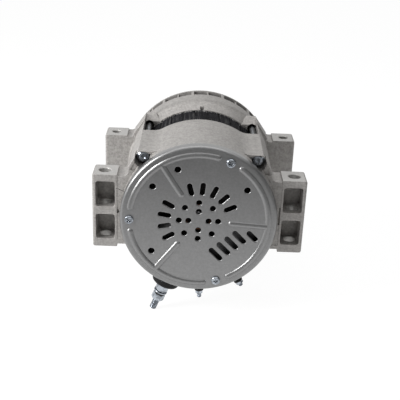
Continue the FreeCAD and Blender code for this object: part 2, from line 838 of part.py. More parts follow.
def make_field_coil():
    """Field winding on the bobbin."""
    start = pole_start + pole_plate + coil_gap + coil_flange
    end = pole_end - pole_plate - coil_gap - coil_flange
    return tube(coil_outer - coil_gap, pole_hub_radius + coil_gap / 2 + bobbin_wall, start, end)


def make_shaft():
    """Stepped shaft: slip-ring end, two bearing journals, pulley seat and threaded end."""
    end = shaft_end
    return turned([
        (0, shaft_start), (slip_journal - shaft_chamfer, shaft_start),
        (slip_journal, shaft_start + shaft_chamfer), (slip_journal, end_wall),
        (rear_journal, end_wall), (rear_journal, rear_bearing_end),
        (rotor_journal, rear_bearing_end), (rotor_journal, pulley_shoulder),
        (pulley_journal, pulley_shoulder), (pulley_journal, thread_start),
        (thread_radius, thread_start), (thread_radius, end - shaft_chamfer),
        (thread_radius - shaft_chamfer, end), (0, end),
    ]).cut(key_seat())


def key_seat():
    """Cutter for the key seat in the pulley journal."""
    return block(-key_width / 2, key_width / 2, key_start, key_start + key_length,
                 pulley_journal - key_depth, pulley_journal + over)


def blade(inner, outer, start, end):
    """One fan blade: a thin curved plate that leans back."""
    leaned = []
    for share in (0.0, 0.5, 1.0):
        radius = inner + (outer - inner) * share
        leaned.append((radius, -blade_lean * share))

    def at(radius, angle):
        x, z = polar(radius, angle)
        return FreeCAD.Vector(x, start, z)

    points = [at(r, a) for r, a in leaned]
    inside = [at(r, a + math.degrees(blade_thickness / r)) for r, a in leaned]
    edges = [Part.Arc(*points).toShape(), Part.LineSegment(points[2], inside[2]).toShape(),
             Part.Arc(*inside[::-1]).toShape(), Part.LineSegment(inside[0], points[0]).toShape()]
    return Part.Face(Part.Wire(edges)).extrude(FreeCAD.Vector(0, end - start, 0))


def fan(plate_start, plate_end, radius, blade_inner, blade_start, blade_end, count):
    """Fan: a plate on the rotor's spacer with upright blades."""
    plate = tube(radius, rotor_journal, plate_start, plate_end)
    one = blade(blade_inner, radius - over, blade_start, blade_end)
    return join(plate, *ring_of(one, evenly(count)))


def bearing(start, end, outer, bore, race_gap):
    """Outer race, inner race and the two shields of a sealed ball bearing."""
    pitch = (outer + bore) / 2
    outer_inside, inner_outside = pitch + race_gap / 2, pitch - race_gap / 2
    shields = [tube(outer_inside, inner_outside + shield_gap, low, low + shield_thickness)
               for low in (start, end - shield_thickness)]
    outer_race, inner_race = tube(outer, outer_inside, start, end), tube(inner_outside, bore, start, end)
    return outer_race, inner_race, Part.makeCompound(shields)


def make_slip_rings():
    """Insulating hub on the shaft and the two copper rings on it."""
    hub = tube(slip_hub_radius, slip_journal, slip_hub_start, slip_hub_end)
    rings = [tube(slip_ring_radius, slip_hub_radius, start, start + slip_ring_width)
             for start in slip_ring_starts]
    return hub, Part.makeCompound(rings)


def make_brush_gear():
    """Brush holder with its feet, the two brushes and their flat springs."""
    half = holder_width / 2
    body = block(holder_inner, holder_outer, holder_start, end_wall, -half, half)
    foot = block(holder_outer - holder_foot_length, holder_outer, end_wall - holder_foot_thickness, end_wall,
                 -holder_foot_width / 2, holder_foot_width / 2)
    holder = join(body, foot)
    brushes = []
    springs = []
    channels = []
    for start in slip_ring_starts:
        middle = start + slip_ring_width / 2
        low, high = middle - brush_thickness / 2, middle + brush_thickness / 2
        tip = slip_ring_radius + brush_gap
        brush = block(tip, tip + brush_length, low, high, -brush_width / 2, brush_width / 2)
        brushes.append(around(brush, brush_angle))
        channels.append(block(holder_inner - over, holder_outer + over, low - brush_fit, high + brush_fit,
                              -brush_width / 2 - brush_fit, brush_width / 2 + brush_fit))
        leaf = block(tip + brush_length, tip + brush_length + spring_thickness, low, high,
                     -brush_width / 2, brush_width / 2)
        tail = block(tip + brush_length, holder_outer, low, high,
                     brush_width / 2 - spring_thickness, brush_width / 2)
        springs.append(around(join(leaf, tail), brush_angle))
    holder = around(holder.cut(channels), brush_angle)
    return holder, Part.makeCompound(brushes), Part.makeCompound(springs)


def make_regulator():
    """Voltage regulator: a finned case on the end wall."""
    half = regulator_width / 2
    start = end_wall - regulator_height
    body = block(regulator_inner, regulator_outer, start, end_wall, -half, half)
    inner = half - regulator_foot
    shoulders = [block(regulator_inner - over, regulator_outer + over, start - over,
                       end_wall - holder_foot_thickness, side * inner - (half if side < 0 else 0),
                       side * inner + (half if side > 0 else 0)) for side in (-1, 1)]
    grooves = []
    radius = regulator_inner + regulator_fin * 2
    while radius < regulator_outer - regulator_fin * 2:
        grooves.append(block(radius, radius + regulator_fin, start - over, start + regulator_groove_depth,
                             -half, half))
        radius += regulator_fin * 2
    return around(body.cut(shoulders + grooves), regulator_angle)


def plate_sector(start):
    """Half-round cooling plate of the rectifier."""
    plate = sector(plate_outer, plate_inner, plate_first, plate_last, start, start + plate_thickness)
    holes = []
    for angle in post_angles:
        x, z = polar(post_circle, angle)
        holes.append(rod(small_screw_radius + bolt_clearance, 0, front_face, x, z))
    return plate.cut(holes)


def post_holes():
    """Tapped holes in the end wall for the rectifier's screws."""
    holes = []
    for angle in post_angles:
        x, z = polar(post_circle, angle)
        holes.append(rod(small_screw_radius + bolt_clearance, end_wall - over, wall_back + over, x, z))
    return holes


def make_rectifier_posts():
    """Spacers between the plates and the end wall, and the long screws through them."""
    spacers = []
    screws = []
    bore = small_screw_radius + bolt_clearance
    strap_seat = positive_plate_start - strap_thickness
    for angle in post_angles:
        x, z = polar(post_circle, angle)
        for low, high in ((positive_plate_start + plate_thickness, negative_plate_start),
                          (negative_plate_start + plate_thickness, end_wall)):
            spacer = hexagon_along(post_flats, low, high, x, z)
            spacers.append(spacer.cut(rod(bore, low - over, high + over, x, z)))
        seat = strap_seat if angle == output_angle else positive_plate_start
        head = hexagon_along(small_screw_flats, seat - small_screw_head_height, seat, x, z)
        shank = rod(small_screw_radius, seat, end_wall + small_screw_depth, x, z)
        screws.append(join(head, shank))
    return Part.makeCompound(spacers), Part.makeCompound(screws)


def make_diodes():
    """Button diodes on the facing sides of the two plates."""
    diodes = []
    back = positive_plate_start + plate_thickness
    for angle in diode_angles:
        diodes.append(rod(diode_radius, back, back + diode_height, *polar(diode_circle, angle)))
        diodes.append(rod(diode_radius, negative_plate_start - diode_height, negative_plate_start,
                          *polar(diode_circle, angle + diode_stagger)))
    return Part.makeCompound(diodes)


def make_output_strap():
    """Copper strap from the positive plate to the head of the output stud."""
    inner = post_circle - small_screw_flats
    outer = bay_radius - terminal_boss_rise - output_head_height
    start = positive_plate_start - strap_thickness
    end = output_station + output_head_radius
    flat = block(inner, outer, start, positive_plate_start, -strap_width / 2, strap_width / 2)
    leg = block(outer - strap_thickness, outer, start, end, -strap_width / 2, strap_width / 2)
    hole = rod(small_screw_radius + bolt_clearance, 0, front_face, post_circle, 0)
    return around(join(flat, leg).cut(hole), output_angle)


def make_capacitor():
    """Suppression capacitor in its can, with a foot on the end wall."""
    seat = end_wall - capacitor_foot_thickness
    can = rod(capacitor_radius, seat - capacitor_height, seat, *polar(capacitor_circle, capacitor_angle))
    foot = sector(capacitor_circle + capacitor_radius, capacitor_circle - capacitor_radius,
                  capacitor_angle - capacitor_foot_span, capacitor_angle + capacitor_foot_span,
                  seat, end_wall)
    return can, foot


def make_output_terminal():
    """Output stud with its insulator, two nuts and two washers."""
    def part(shape, radius):
        return outward(shape, output_angle, output_station, radius)

    inner_face = bay_radius - terminal_boss_rise
    sleeve = Part.makeCylinder(output_sleeve_radius, terminal_seat - inner_face)
    collar = Part.makeCylinder(output_insulator_radius, output_insulator_height)
    insulator = join(part(sleeve, inner_face), part(collar, terminal_seat))
    hole = part(Part.makeCylinder(output_stud_radius + bolt_clearance, output_stud_reach), inner_face - over)
    insulator = insulator.cut(hole)
    head = part(Part.makeBox(output_head_radius * 2, output_head_radius * 2, output_head_height,
                             FreeCAD.Vector(-output_head_radius, -output_head_radius, 0)),
                inner_face - output_head_height)
    core = output_stud_radius - thread_relief
    stud = join(head, part(Part.makeCylinder(core, output_nut_end - inner_face), inner_face),
                part(Part.makeCylinder(output_stud_radius, output_stud_free), output_nut_end))
    cutter = Part.makeCylinder(core + bolt_clearance, jam_nut_height + over)
    jam_nut = part(hexagon(nut_flats, jam_nut_height).cut(cutter), terminal_seat + output_insulator_height)
    bore = output_stud_radius + bolt_clearance
    washers = []
    for i, outer in enumerate((spring_washer_radius, washer_radius)):
        washers.append(part(washer(outer, bore, washer_thickness),
                            output_nut_seat - (i + 1) * washer_thickness))
    nut = part(hexagon(nut_flats, nut_height).cut(cutter), output_nut_seat)
    return insulator, stud, jam_nut, Part.makeCompound(washers), nut


def make_signal_terminals():
    """Two small studs with their insulating bushes, washers and nuts."""
    insulators = []
    studs = []
    washers = []
    nuts = []
    bore = signal_stud_radius + bolt_clearance
    core = signal_stud_radius - thread_relief
    inner_face = bay_radius - terminal_boss_rise
    for angle, free in zip(signal_angles, signal_studs_free):
        def part(shape, radius):
            return outward(shape, angle, signal_station, radius)

        sleeve = part(Part.makeCylinder(signal_sleeve_radius, terminal_seat - inner_face), inner_face)
        collar = part(Part.makeCylinder(signal_insulator_radius, signal_insulator_height), terminal_seat)
        hole = part(Part.makeCylinder(bore, signal_nut_end), inner_face - over)
        insulators.append(join(sleeve, collar).cut(hole))
        head = part(Part.makeCylinder(signal_head_radius, signal_head_height),
                    inner_face - signal_head_height)
        shank = part(Part.makeCylinder(core, signal_nut_end - inner_face), inner_face)
        tip = part(Part.makeCylinder(signal_stud_radius, free), signal_nut_end)
        studs.append(join(head, shank, tip))
        flat = washer(signal_washer_radius, bore, signal_washer_thickness)
        washers.append(part(flat, signal_nut_seat - signal_washer_thickness))
        cutter = Part.makeCylinder(core + bolt_clearance, signal_nut_height + over)
        nuts.append(part(hexagon(signal_nut_flats, signal_nut_height).cut(cutter), signal_nut_seat))
    return [Part.makeCompound(group) for group in (insulators, studs, washers, nuts)]


def make_pieces():
    """Every piece by its node name."""
    pieces = {
        "rear_cover": make_rear_cover(),
        "cover_screws": make_cover_screws(),
        "rear_housing": make_rear_housing(),
        "front_housing": make_front_housing(),
        "through_bolts": make_through_bolts(),
        "stator_core": make_stator_core(),
        "stator_windings": make_stator_windings(),
        "shaft": make_shaft(),
        "coil_bobbin": make_bobbin(),
        "field_coil": make_field_coil(),
        "regulator": make_regulator(),
        "diodes": make_diodes(),
        "output_strap": make_output_strap(),
        "positive_plate": plate_sector(positive_plate_start),
        "negative_plate": plate_sector(negative_plate_start),
    }
    middle = (pole_start + pole_end) / 2
    half_pitch = 180.0 / finger_count
    pieces["rear_claw_pole"] = claw_pole(pole_start, pole_start + pole_plate,
                                         pole_end - finger_end_gap, middle, 0)
    pieces["front_claw_pole"] = claw_pole(pole_end, pole_end - pole_plate,
                                          pole_start + finger_end_gap, middle, half_pitch)
    fan_end = front_fan_station + fan_sheet
    pieces["front_fan"] = fan(front_fan_station, fan_end, front_fan_radius, front_fan_inner, fan_end,
                              fan_end + front_fan_height, front_fan_blades)
    rear_fan_face = pole_start - fan_sheet
    pieces["rear_fan"] = fan(rear_fan_face, pole_start, rear_fan_radius, rear_fan_inner,
                             rear_fan_face - rear_fan_height, rear_fan_face, rear_fan_blades)
    pieces["fan_spacer"] = tube(fan_spacer_radius, rotor_journal, pole_end, front_fan_station)
    pieces["bearing_spacer"] = tube(rotor_journal + bearing_spacer_wall, rotor_journal, fan_end,
                                    front_bearing_start)
    pieces["pulley_collar"] = tube(rotor_journal + collar_wall, rotor_journal, front_bearing_end,
                                   pulley_shoulder)
    front = bearing(front_bearing_start, front_bearing_end, front_bearing_outer, rotor_journal,
                    front_race_gap)
    rear = bearing(rear_bearing_start, rear_bearing_end, rear_bearing_outer, rear_journal, rear_race_gap)
    for place, made in (("front", front), ("rear", rear)):
        for piece, shape in zip(("outer_race", "inner_race", "shields"), made):
            pieces[f"{place}_bearing_{piece}"] = shape
    pieces["slip_ring_hub"], pieces["slip_rings"] = make_slip_rings()
    pieces["brush_holder"], pieces["brushes"], pieces["brush_springs"] = make_brush_gear()
    pieces["rectifier_spacers"], pieces["rectifier_screws"] = make_rectifier_posts()
    pieces["capacitor"], pieces["capacitor_foot"] = make_capacitor()
    output = make_output_terminal()
    for name, shape in zip(("insulator", "stud", "jam_nut", "washers", "nut"), output):
        pieces[f"output_{name}"] = shape
    for name, shape in zip(("insulators", "studs", "washers", "nuts"), make_signal_terminals()):
        pieces[f"signal_{name}"] = shape
    return pieces


os.makedirs("parts", exist_ok=True)
for node, shape in make_pieces().items():
    shape.translate(FreeCAD.Vector(0, -pulley_shoulder, 0))
    shape.exportStep(f"parts/{node}.step")
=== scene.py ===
import json
import math
import bmesh
import bpy
from bpy.props import FloatProperty, FloatVectorProperty, IntProperty, PointerProperty
from mathutils import Matrix, Vector


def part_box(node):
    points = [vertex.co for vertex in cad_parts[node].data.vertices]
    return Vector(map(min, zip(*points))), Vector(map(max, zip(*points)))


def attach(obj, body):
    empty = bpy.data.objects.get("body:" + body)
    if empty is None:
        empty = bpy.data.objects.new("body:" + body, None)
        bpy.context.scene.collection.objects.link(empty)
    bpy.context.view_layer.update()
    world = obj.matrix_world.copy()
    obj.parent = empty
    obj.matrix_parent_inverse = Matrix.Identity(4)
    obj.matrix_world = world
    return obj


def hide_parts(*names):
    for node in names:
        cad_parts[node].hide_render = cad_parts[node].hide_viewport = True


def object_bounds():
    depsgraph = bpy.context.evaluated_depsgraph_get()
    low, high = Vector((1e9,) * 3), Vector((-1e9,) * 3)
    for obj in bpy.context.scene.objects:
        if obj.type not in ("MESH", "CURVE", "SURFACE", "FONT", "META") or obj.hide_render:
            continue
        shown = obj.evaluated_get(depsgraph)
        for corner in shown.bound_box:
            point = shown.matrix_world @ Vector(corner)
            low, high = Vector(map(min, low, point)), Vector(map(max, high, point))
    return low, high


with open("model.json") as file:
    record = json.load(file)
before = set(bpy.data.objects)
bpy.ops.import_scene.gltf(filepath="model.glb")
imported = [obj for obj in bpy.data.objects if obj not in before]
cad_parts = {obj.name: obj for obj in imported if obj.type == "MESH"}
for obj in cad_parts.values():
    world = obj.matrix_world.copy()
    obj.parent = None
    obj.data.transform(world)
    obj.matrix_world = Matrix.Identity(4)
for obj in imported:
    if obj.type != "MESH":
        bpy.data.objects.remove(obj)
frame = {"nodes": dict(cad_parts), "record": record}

bl_info = {
    "name": "Alternator",
    "version": (1, 0, 0),
    "blender": (4, 5, 0),
    "location": "3D View > Sidebar > Alternator",
    "description": "Builds the finished look of a heavy-duty alternator round its packed solids",
    "category": "Add Mesh",
}

# Boxes and mounts that the new pieces are sized and placed by
COVER_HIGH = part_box("rear_cover")[1]
BOLTS_LOW, BOLTS_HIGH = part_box("through_bolts")
SHAFT_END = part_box("shaft")[1].y
CORE_LOW, CORE_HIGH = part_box("stator_core")
OBJECT_LOW, OBJECT_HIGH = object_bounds()
MOUNTS = {mount["name"]: mount for mount in frame["record"]["mounts"]}
HOLE_X = MOUNTS["rear_pad_holes"]["dims"]["spacing_x_mm"] / 2000.0
HOLE_ROWS = [MOUNTS[name]["pos_m"][1] for name in ("rear_pad_holes", "front_pad_holes")]

# Where a finish changes, in metres: the inside, darkened by painted shade, the milled pads and bores, the
# bare end of the core, and the upper bolts, with a painted highlight on their heads and painted shade on
# their shanks
SHADED_INSIDE_RADIUS, SHADED_INSIDE_END = CORE_HIGH.x + 0.0002, (CORE_LOW.y + CORE_HIGH.y) / 2
MILLED_X, MILLED_Z, MILLED_BORE = 0.0905, 0.0431, 0.0076
BARE_START, BARE_END = CORE_HIGH.y - 0.0085, CORE_HIGH.y - 0.0065
UPPER_BOLTS, HEAD_END, SHANK_START = 0.045, BOLTS_LOW.y + 0.010, BOLTS_LOW.y + 0.05

# Direction and size of each lamp, in metres
KEY_SIDE, KEY_SIZE = (-0.80, -0.43, 0.41), (0.40, 0.62)
TOP_SIDE, TOP_SIZE = (0.0, 0.02, 1.0), (1.3, 0.9)

# Merge distance, how far a cutter starts outside what it cuts, and how far joined solids overlap
WELD, PAST, SUNK = 0.000002, 0.001, 0.0005


def quantity(description, values, unit, subtype, **options):
    """A property for one value, or for several of one kind."""
    options.update(description=description, unit=unit)
    if len(values) == 1:
        return FloatProperty(default=values[0], subtype=subtype, **options)
    return FloatVectorProperty(default=values, size=len(values), **options)


def length(description, *millimetres):
    """Sizes kept in metres, given in millimetres."""
    return quantity(description, [value / 1000.0 for value in millimetres], "LENGTH", "DISTANCE", precision=5)


def turn(description, *degrees):
    """Angles, given in degrees."""
    return quantity(description, [math.radians(value) for value in degrees], "ROTATION", "ANGLE")


def amount(description, default, unit="NONE"):
    """A plain number, or one with a unit of its own."""
    return FloatProperty(description=description, default=default, unit=unit)


def colour(description, *default):
    """A linear colour."""
    return FloatVectorProperty(description=description, default=default, size=3, min=0.0, max=1.0,
                               subtype="COLOR")


def labelled(group):
    """Gives every property of a group the label that its own name spells."""
    for name, field in group.__annotations__.items():
        field.keywords["name"] = name.replace("_", " ").capitalize()
    return group


@labelled
class StageSettings(bpy.types.PropertyGroup):
    """Camera, lamps and floor."""

    lens: amount("Focal length on a 36 mm sensor", 71.598, "CAMERA")
    distance: length("From the camera to its target", 859.282)
    azimuth: turn("How far the camera stands round to the right", -0.867)
    elevation: turn("How far the camera stands above the shaft line", 23.342)
    roll: turn("Turn of the camera about its line of sight", 2.396)
    target: length("X and Z of the point that the camera looks at", 0.703, 25.167)
    key_power: amount("Soft box on the left", 14.5, "POWER")
    top_power: amount("Soft box above", 3.5, "POWER")
    lamp_distance: length("From the object to each soft box", 1200.0)
    surround: amount("Brightness of the room for soft light", 0.375)
    ceiling: amount("Brightness of the room above and in front, as gloss shows it", 0.16)
    floor_size: length("Side of the floor", 8000.0)
    floor_share: amount("Share of the floor's white that shadows don't reach", 0.84)
    floor_white: amount("Brightness of the floor's white", 1.10)
    floor_near: length("How far out gloss still shows the floor white", 300.0)
    floor_far: length("How far out gloss shows the floor dim", 900.0)
    floor_dim: amount("Brightness of the dim floor", 0.10)


@labelled
class CoverSizes(bpy.types.PropertyGroup):
    """Pressed rear cover and its screws."""

    sheet: length("Thickness of the sheet", 1.5)
    depth: length("From the flat face to the skirt's edge", 10.0)
    rim: length("Outer radius of the bend at the rim", 4.0)
    steps: IntProperty(description="Facets round the rim", default=180)
    bead_height: length("Rise of the pressed beads", 1.5)
    bead_width: length("Width of a bead at its foot", 6.6)
    bead_circle: length("Radius of the arcs of the beads", 76.2)
    bead_step: turn("Angle of each facet along those arcs", 1.5)
    bead_gap: turn("From a screw to the centre of a bead's end", 10.8)
    spoke_inner: length("Radius of the inner end of a spoke", 36.2)
    spoke_angles: turn("Directions of the three spokes", 123.0, -3.4, 232.4)
    screw_circle: length("Radius that the screws stand on", 75.9)
    screw_angles: turn("Places of the three screws", 65.1, 180.7, 286.9)
    screw_turns: turn("How far each screw's recess is turned", 20.0, 45.0, 5.0)
    screw_hole: length("Radius of the holes for the screws", 2.7)
    hole_edge: length("Rolled edge of the openings", 1.1)
    vent: length("Radius of the round vents", 3.1)
    vent_circle: length("Radius of the outer ring of vents", 21.5)
    inner_vent_circle: length("Radius of the inner ring of vents", 11.1)
    slot_circle: length("Radius of the ring of slots", 37.8)
    slot_length: length("Length of a slot", 14.5)
    slot_width: length("Width of every slot", 5.3)
    slot_angles: turn("Directions of the slots", 25, 45, 65, 85, 105, 151, 171, 191, 211)
    access: length("Radius of the outer holes", 3.4)
    access_circle: length("Radius that the outer holes stand on", 63.9)
    access_angles: turn("Directions of the outer holes", 112.2, 142.6, 36.5, 217.0)
    louvre_length: length("Length of the parallel slots", 19.4)
    short_louvre_length: length("Length of the last parallel slot", 15.4)
    louvre_turn: turn("Slant of the parallel slots", -45.0)
    louvre_first: length("X and Z of the first parallel slot", 20.6, -40.1)
    louvre_step: length("X and Z from one parallel slot to the next", 8.38, 7.27)
    short_louvre: length("X and Z of the last parallel slot", 60.0, -16.6)


@labelled
class FastenerSizes(bpy.types.PropertyGroup):
    """Cover screws and through bolts."""

    screw_head: length("Radius of a cover screw's head", 5.0)
    screw_height: length("Height of a cover screw's head", 2.6)
    screw_round: length("Rounding of a cover screw's head", 1.5)
    screw_shank: length("Radius of a cover screw's thread", 2.5)
    screw_length: length("Length of a cover screw below its head", 14.0)
    tip: length("Chamfer at the end of a screw or bolt", 1.0)
    fine_edge: length("Rounding of the edges of screws and nuts", 0.12)
    recess_span: length("Length of the cross recess from end to end", 6.4)
    recess_width: length("Width of each arm of the cross recess", 1.7)
    recess_depth: length("Depth of the cross recess", 1.7)
    recess_floor: amount("Size of the recess's floor as a share of its mouth", 0.55)
    flange: length("Radius of a through bolt's flange", 8.5)
    flange_edge: length("Thickness of the flange at its edge", 1.0)
    flange_height: length("Height of the flange where the hexagon starts", 2.0)
    bolt_flats: length("Width across the flats of a through bolt", 13.0)
    bolt_height: length("Height of a through bolt's hexagon", 6.5)
    bolt_edge: length("Rounding of a through bolt's edges", 0.15)
    dimple: length("Radius of the dimple in a through bolt's head", 2.6)
    dimple_depth: length("Depth of that dimple", 0.8)
    bolt_shank: length("Radius of a through bolt", 4.0)
    bolt_turns: turn("How far each hexagon is turned", 8.0, 21.0, 0.0, 35.0)


@labelled
class TerminalSizes(bpy.types.PropertyGroup):
    """Output and signal terminals, as distances from the shaft axis along each stud."""

    inner_face: length("Inside of the casting's wall under the bosses", 81.0)
    seat: length("Outside of the bosses", 88.0)
    clearance: length("Between a stud and its bores", 0.05)
    insulator: length("Radius of the output insulator", 16.2)
    insulator_sleeve: length("Radius of the output insulator inside the wall", 6.4)
    insulator_round: length("Rounding of the output insulator's outer edge", 3.0)
    jam_start: length("Inner face of the output jam nut", 98.5)
    washer_start: length("Inner face of the output washers", 110.0)
    washer: length("Radius of the flat washer", 8.0)
    spring_washer: length("Radius of the spring washer", 7.0)
    spring_gap: length("Width of the spring washer's gap and its slant", 0.8, 1.5)
    washer_thickness: length("Thickness of each output washer", 2.0)
    nut_start: length("Inner face of the output nut", 114.0)
    nut_end: length("Outer face of the output nut", 122.5)
    nut_flats: length("Width across the flats of the output nuts", 13.0)
    stud: length("Radius of the output stud", 4.0)
    stud_core: length("Radius of the output stud under its nuts", 3.8)
    stud_head: length("Half width of the output stud's square head", 7.0)
    stud_head_height: length("Height of the output stud's head", 4.0)
    stud_pitch: length("Pitch of the output stud's thread", 1.25)
    stud_chamfer: length("Chamfer at the output stud's end", 0.8)
    signal_insulator: length("Radius of a signal bush", 5.0)
    signal_sleeve: length("Radius of a signal bush inside the wall", 3.9)
    signal_round: length("Rounding of a signal bush's outer edge", 0.6)
    signal_washer_start: length("Inner face of a signal washer", 93.5)
    signal_washer: length("Radius of a signal washer", 5.2)
    signal_nut_start: length("Inner face of a signal nut", 94.9)
    signal_nut_end: length("Outer face of a signal nut", 98.9)
    signal_flats: length("Width across the flats of a signal nut", 8.0)
    signal_stud: length("Radius of a signal stud", 2.5)
    signal_core: length("Radius of a signal stud under its nut", 2.3)
    signal_head: length("Radius of a signal stud's head", 4.2)
    signal_head_height: length("Height of a signal stud's head", 2.5)
    signal_pitch: length("Pitch of a signal stud's thread", 0.8)
    signal_chamfer: length("Chamfer at a signal stud's end", 0.5)
    small_edge: length("Chamfer of a signal stud's head", 0.4)


@labelled
class ShaftSizes(bpy.types.PropertyGroup):
    """Rotor shaft, with stations measured from the pulley shoulder."""

    start: length("Station of the slip-ring end", -205.0)
    slip_journal: length("Radius under the slip rings", 7.5)
    rear_start: length("Station where the rear bearing's journal starts", -177.0)
    rear_journal: length("Radius in the rear bearing", 8.5)
    rotor_start: length("Station where the rotor's journal starts", -163.0)
    rotor_journal: length("Radius under the rotor", 12.5)
    pulley_journal: length("Radius of the pulley's seat", 11.0)
    thread_start: length("Station where the thread starts", 25.0)
    thread: length("Outer radius of the thread", 8.0)
    pitch: length("Pitch of the thread", 1.5)
    chamfer: length("Chamfer of the shaft's ends", 1.0)
    key_start: length("Station where the key seat starts", 3.0)
    key_length: length("Length of the key seat", 18.0)
    key_width: length("Width of the key seat", 5.0)
    key_depth: length("Depth of the key seat", 3.0)
    centre: length("Radius of the centre hole in the end", 2.4)


@labelled
class CastingSizes(bpy.types.PropertyGroup):
    """Local forms of the castings. Stations are measured from the cover's face."""

    edge: length("Rounding of every edge", 0.6)
    ear_top: length("Height of the rear ears above the shaft", 71.38)
    ear_start: length("Station where the rear ears start", 20.0)
    barrel: length("Radius of the rear casting", 86.5)
    blend: length("Radius of the hollow blend between a rear ear and the barrel", 25.0)
    blend_depth: length("How far a blend reaches into the casting", 0.8)
    window_start: length("Station of the window's near edge", 93.0)
    window_end: length("Station of the window's far wall", 141.0)
    slope_foot: length("Radius where the slope over the far wall starts", 83.6)
    slope_top: length("Radius that the slope is cut out to", 100.0)
    slope: turn("Slant of the surface behind the window", 30.0)
    slope_half: turn("Half of the angle that the slope spans round the barrel", 36.7)
    ear_slope: turn("Slant of the front ears behind the window", 35.6)
    ear_slope_foot: length("Height where the ears' slope starts", 66.8)
    ear_slope_reach: length("X where an ear's slope starts and ends", 50.5, 67.3)
    pocket: length("Radius of the pocket round a bolt in the window's far wall", 6.0)
    pocket_depth: length("Depth of that pocket", 8.0)
    web_reach: length("Stations of the face of a rear web", 18.4, 20.8)
    web_low: length("Height of the lower end of that face", -36.0)
    web_top: length("Height of a web's upper side", 41.7)
    web_fillet: length("Radius between a web's upper side and its ear", 7.0)
    web_sides: length("X of the ear's side and of the pad", 78.37, 92.0)
    crease: length("X and Z of both ends of the crease on the left web", -91.6, 28.0, -81.9, 23.6)
    crease_width: length("Width of that crease", 0.8)
    notch: length("X, Z and radius of the half-round notch beside the left pad", -90.8, 0.3, 2.8)
    slit: length("Both X, then both Z, of the slit beside the right pad", 88.9, 90.7, -9.8, 11.0)
    mark_depth: length("Depth of the crease, the notch and the slit", 1.8)
    rib_x: length("X of the corners of the rib under each rear bolt head",
                  78.0, 78.0, 74.2, 71.9, 70.0, 67.3, 71.5, 74.3, 76.2)
    rib_z: length("Z of the same corners", 39.0, 52.0, 58.5, 58.5, 55.4, 53.2, 47.5, 43.0, 39.0)
    rib_reach: length("Stations where that rib starts and ends", 20.6, 38.5)


@labelled
class FinishColours(bpy.types.PropertyGroup):
    """Colours of the finishes, linear."""

    cover: colour("Satin grey sheet steel", 0.262, 0.262, 0.263)
    casting: colour("Die-cast aluminium", 0.37, 0.356, 0.342)
    machined: colour("Milled faces of the castings", 0.44, 0.432, 0.418)
    dirt: colour("Brownish dust in the corners of the castings", 0.060, 0.050, 0.042)
    zinc: colour("Bright zinc plating", 0.40, 0.43, 0.47)
    lamination: colour("Black varnish over the stator's sheets", 0.009, 0.009, 0.011)
    worn: colour("Sheets where the varnish is thin", 0.10, 0.098, 0.095)
    bare: colour("Sheets without varnish", 0.42, 0.41, 0.40)
    plastic: colour("Black moulded insulators", 0.006, 0.006, 0.007)
    winding: colour("Enamelled copper wire", 0.22, 0.06, 0.02)
    copper: colour("Slip rings and strap", 0.11, 0.055, 0.035)
    tarnished: colour("Tarnished copper", 0.25, 0.11, 0.06)
    iron: colour("Oiled rotor iron", 0.045, 0.044, 0.043)
    steel: colour("Ground shaft and races", 0.40, 0.40, 0.41)
    plate: colour("Rolled aluminium of the rectifier", 0.13, 0.13, 0.133)
    carbon: colour("Pressed carbon brushes", 0.02, 0.02, 0.021)
    paper: colour("Matt part of the floor", 0.9, 0.9, 0.9)
    white: colour("Room and bright floor", 1.0, 1.0, 1.0)


class Wire:
    """A socket of a material, with arithmetic that adds the nodes it needs."""

    def __init__(self, recipe, socket):
        self.recipe = recipe
        self.socket = socket

    def __add__(self, other):
        return self.recipe.maths("ADD", self, other)

    def __sub__(self, other):
        return self.recipe.maths("SUBTRACT", self, other)

    def __rsub__(self, other):
        return self.recipe.maths("SUBTRACT", other, self)

    def __mul__(self, other):
        return self.recipe.maths("MULTIPLY", self, other)

    def __gt__(self, other):
        return self.recipe.maths("GREATER_THAN", self, other)

    def __lt__(self, other):
        return self.recipe.maths("LESS_THAN", self, other)

    def __abs__(self):
        return self.recipe.maths("ABSOLUTE", self)

    __radd__ = __add__
    __rmul__ = __mul__


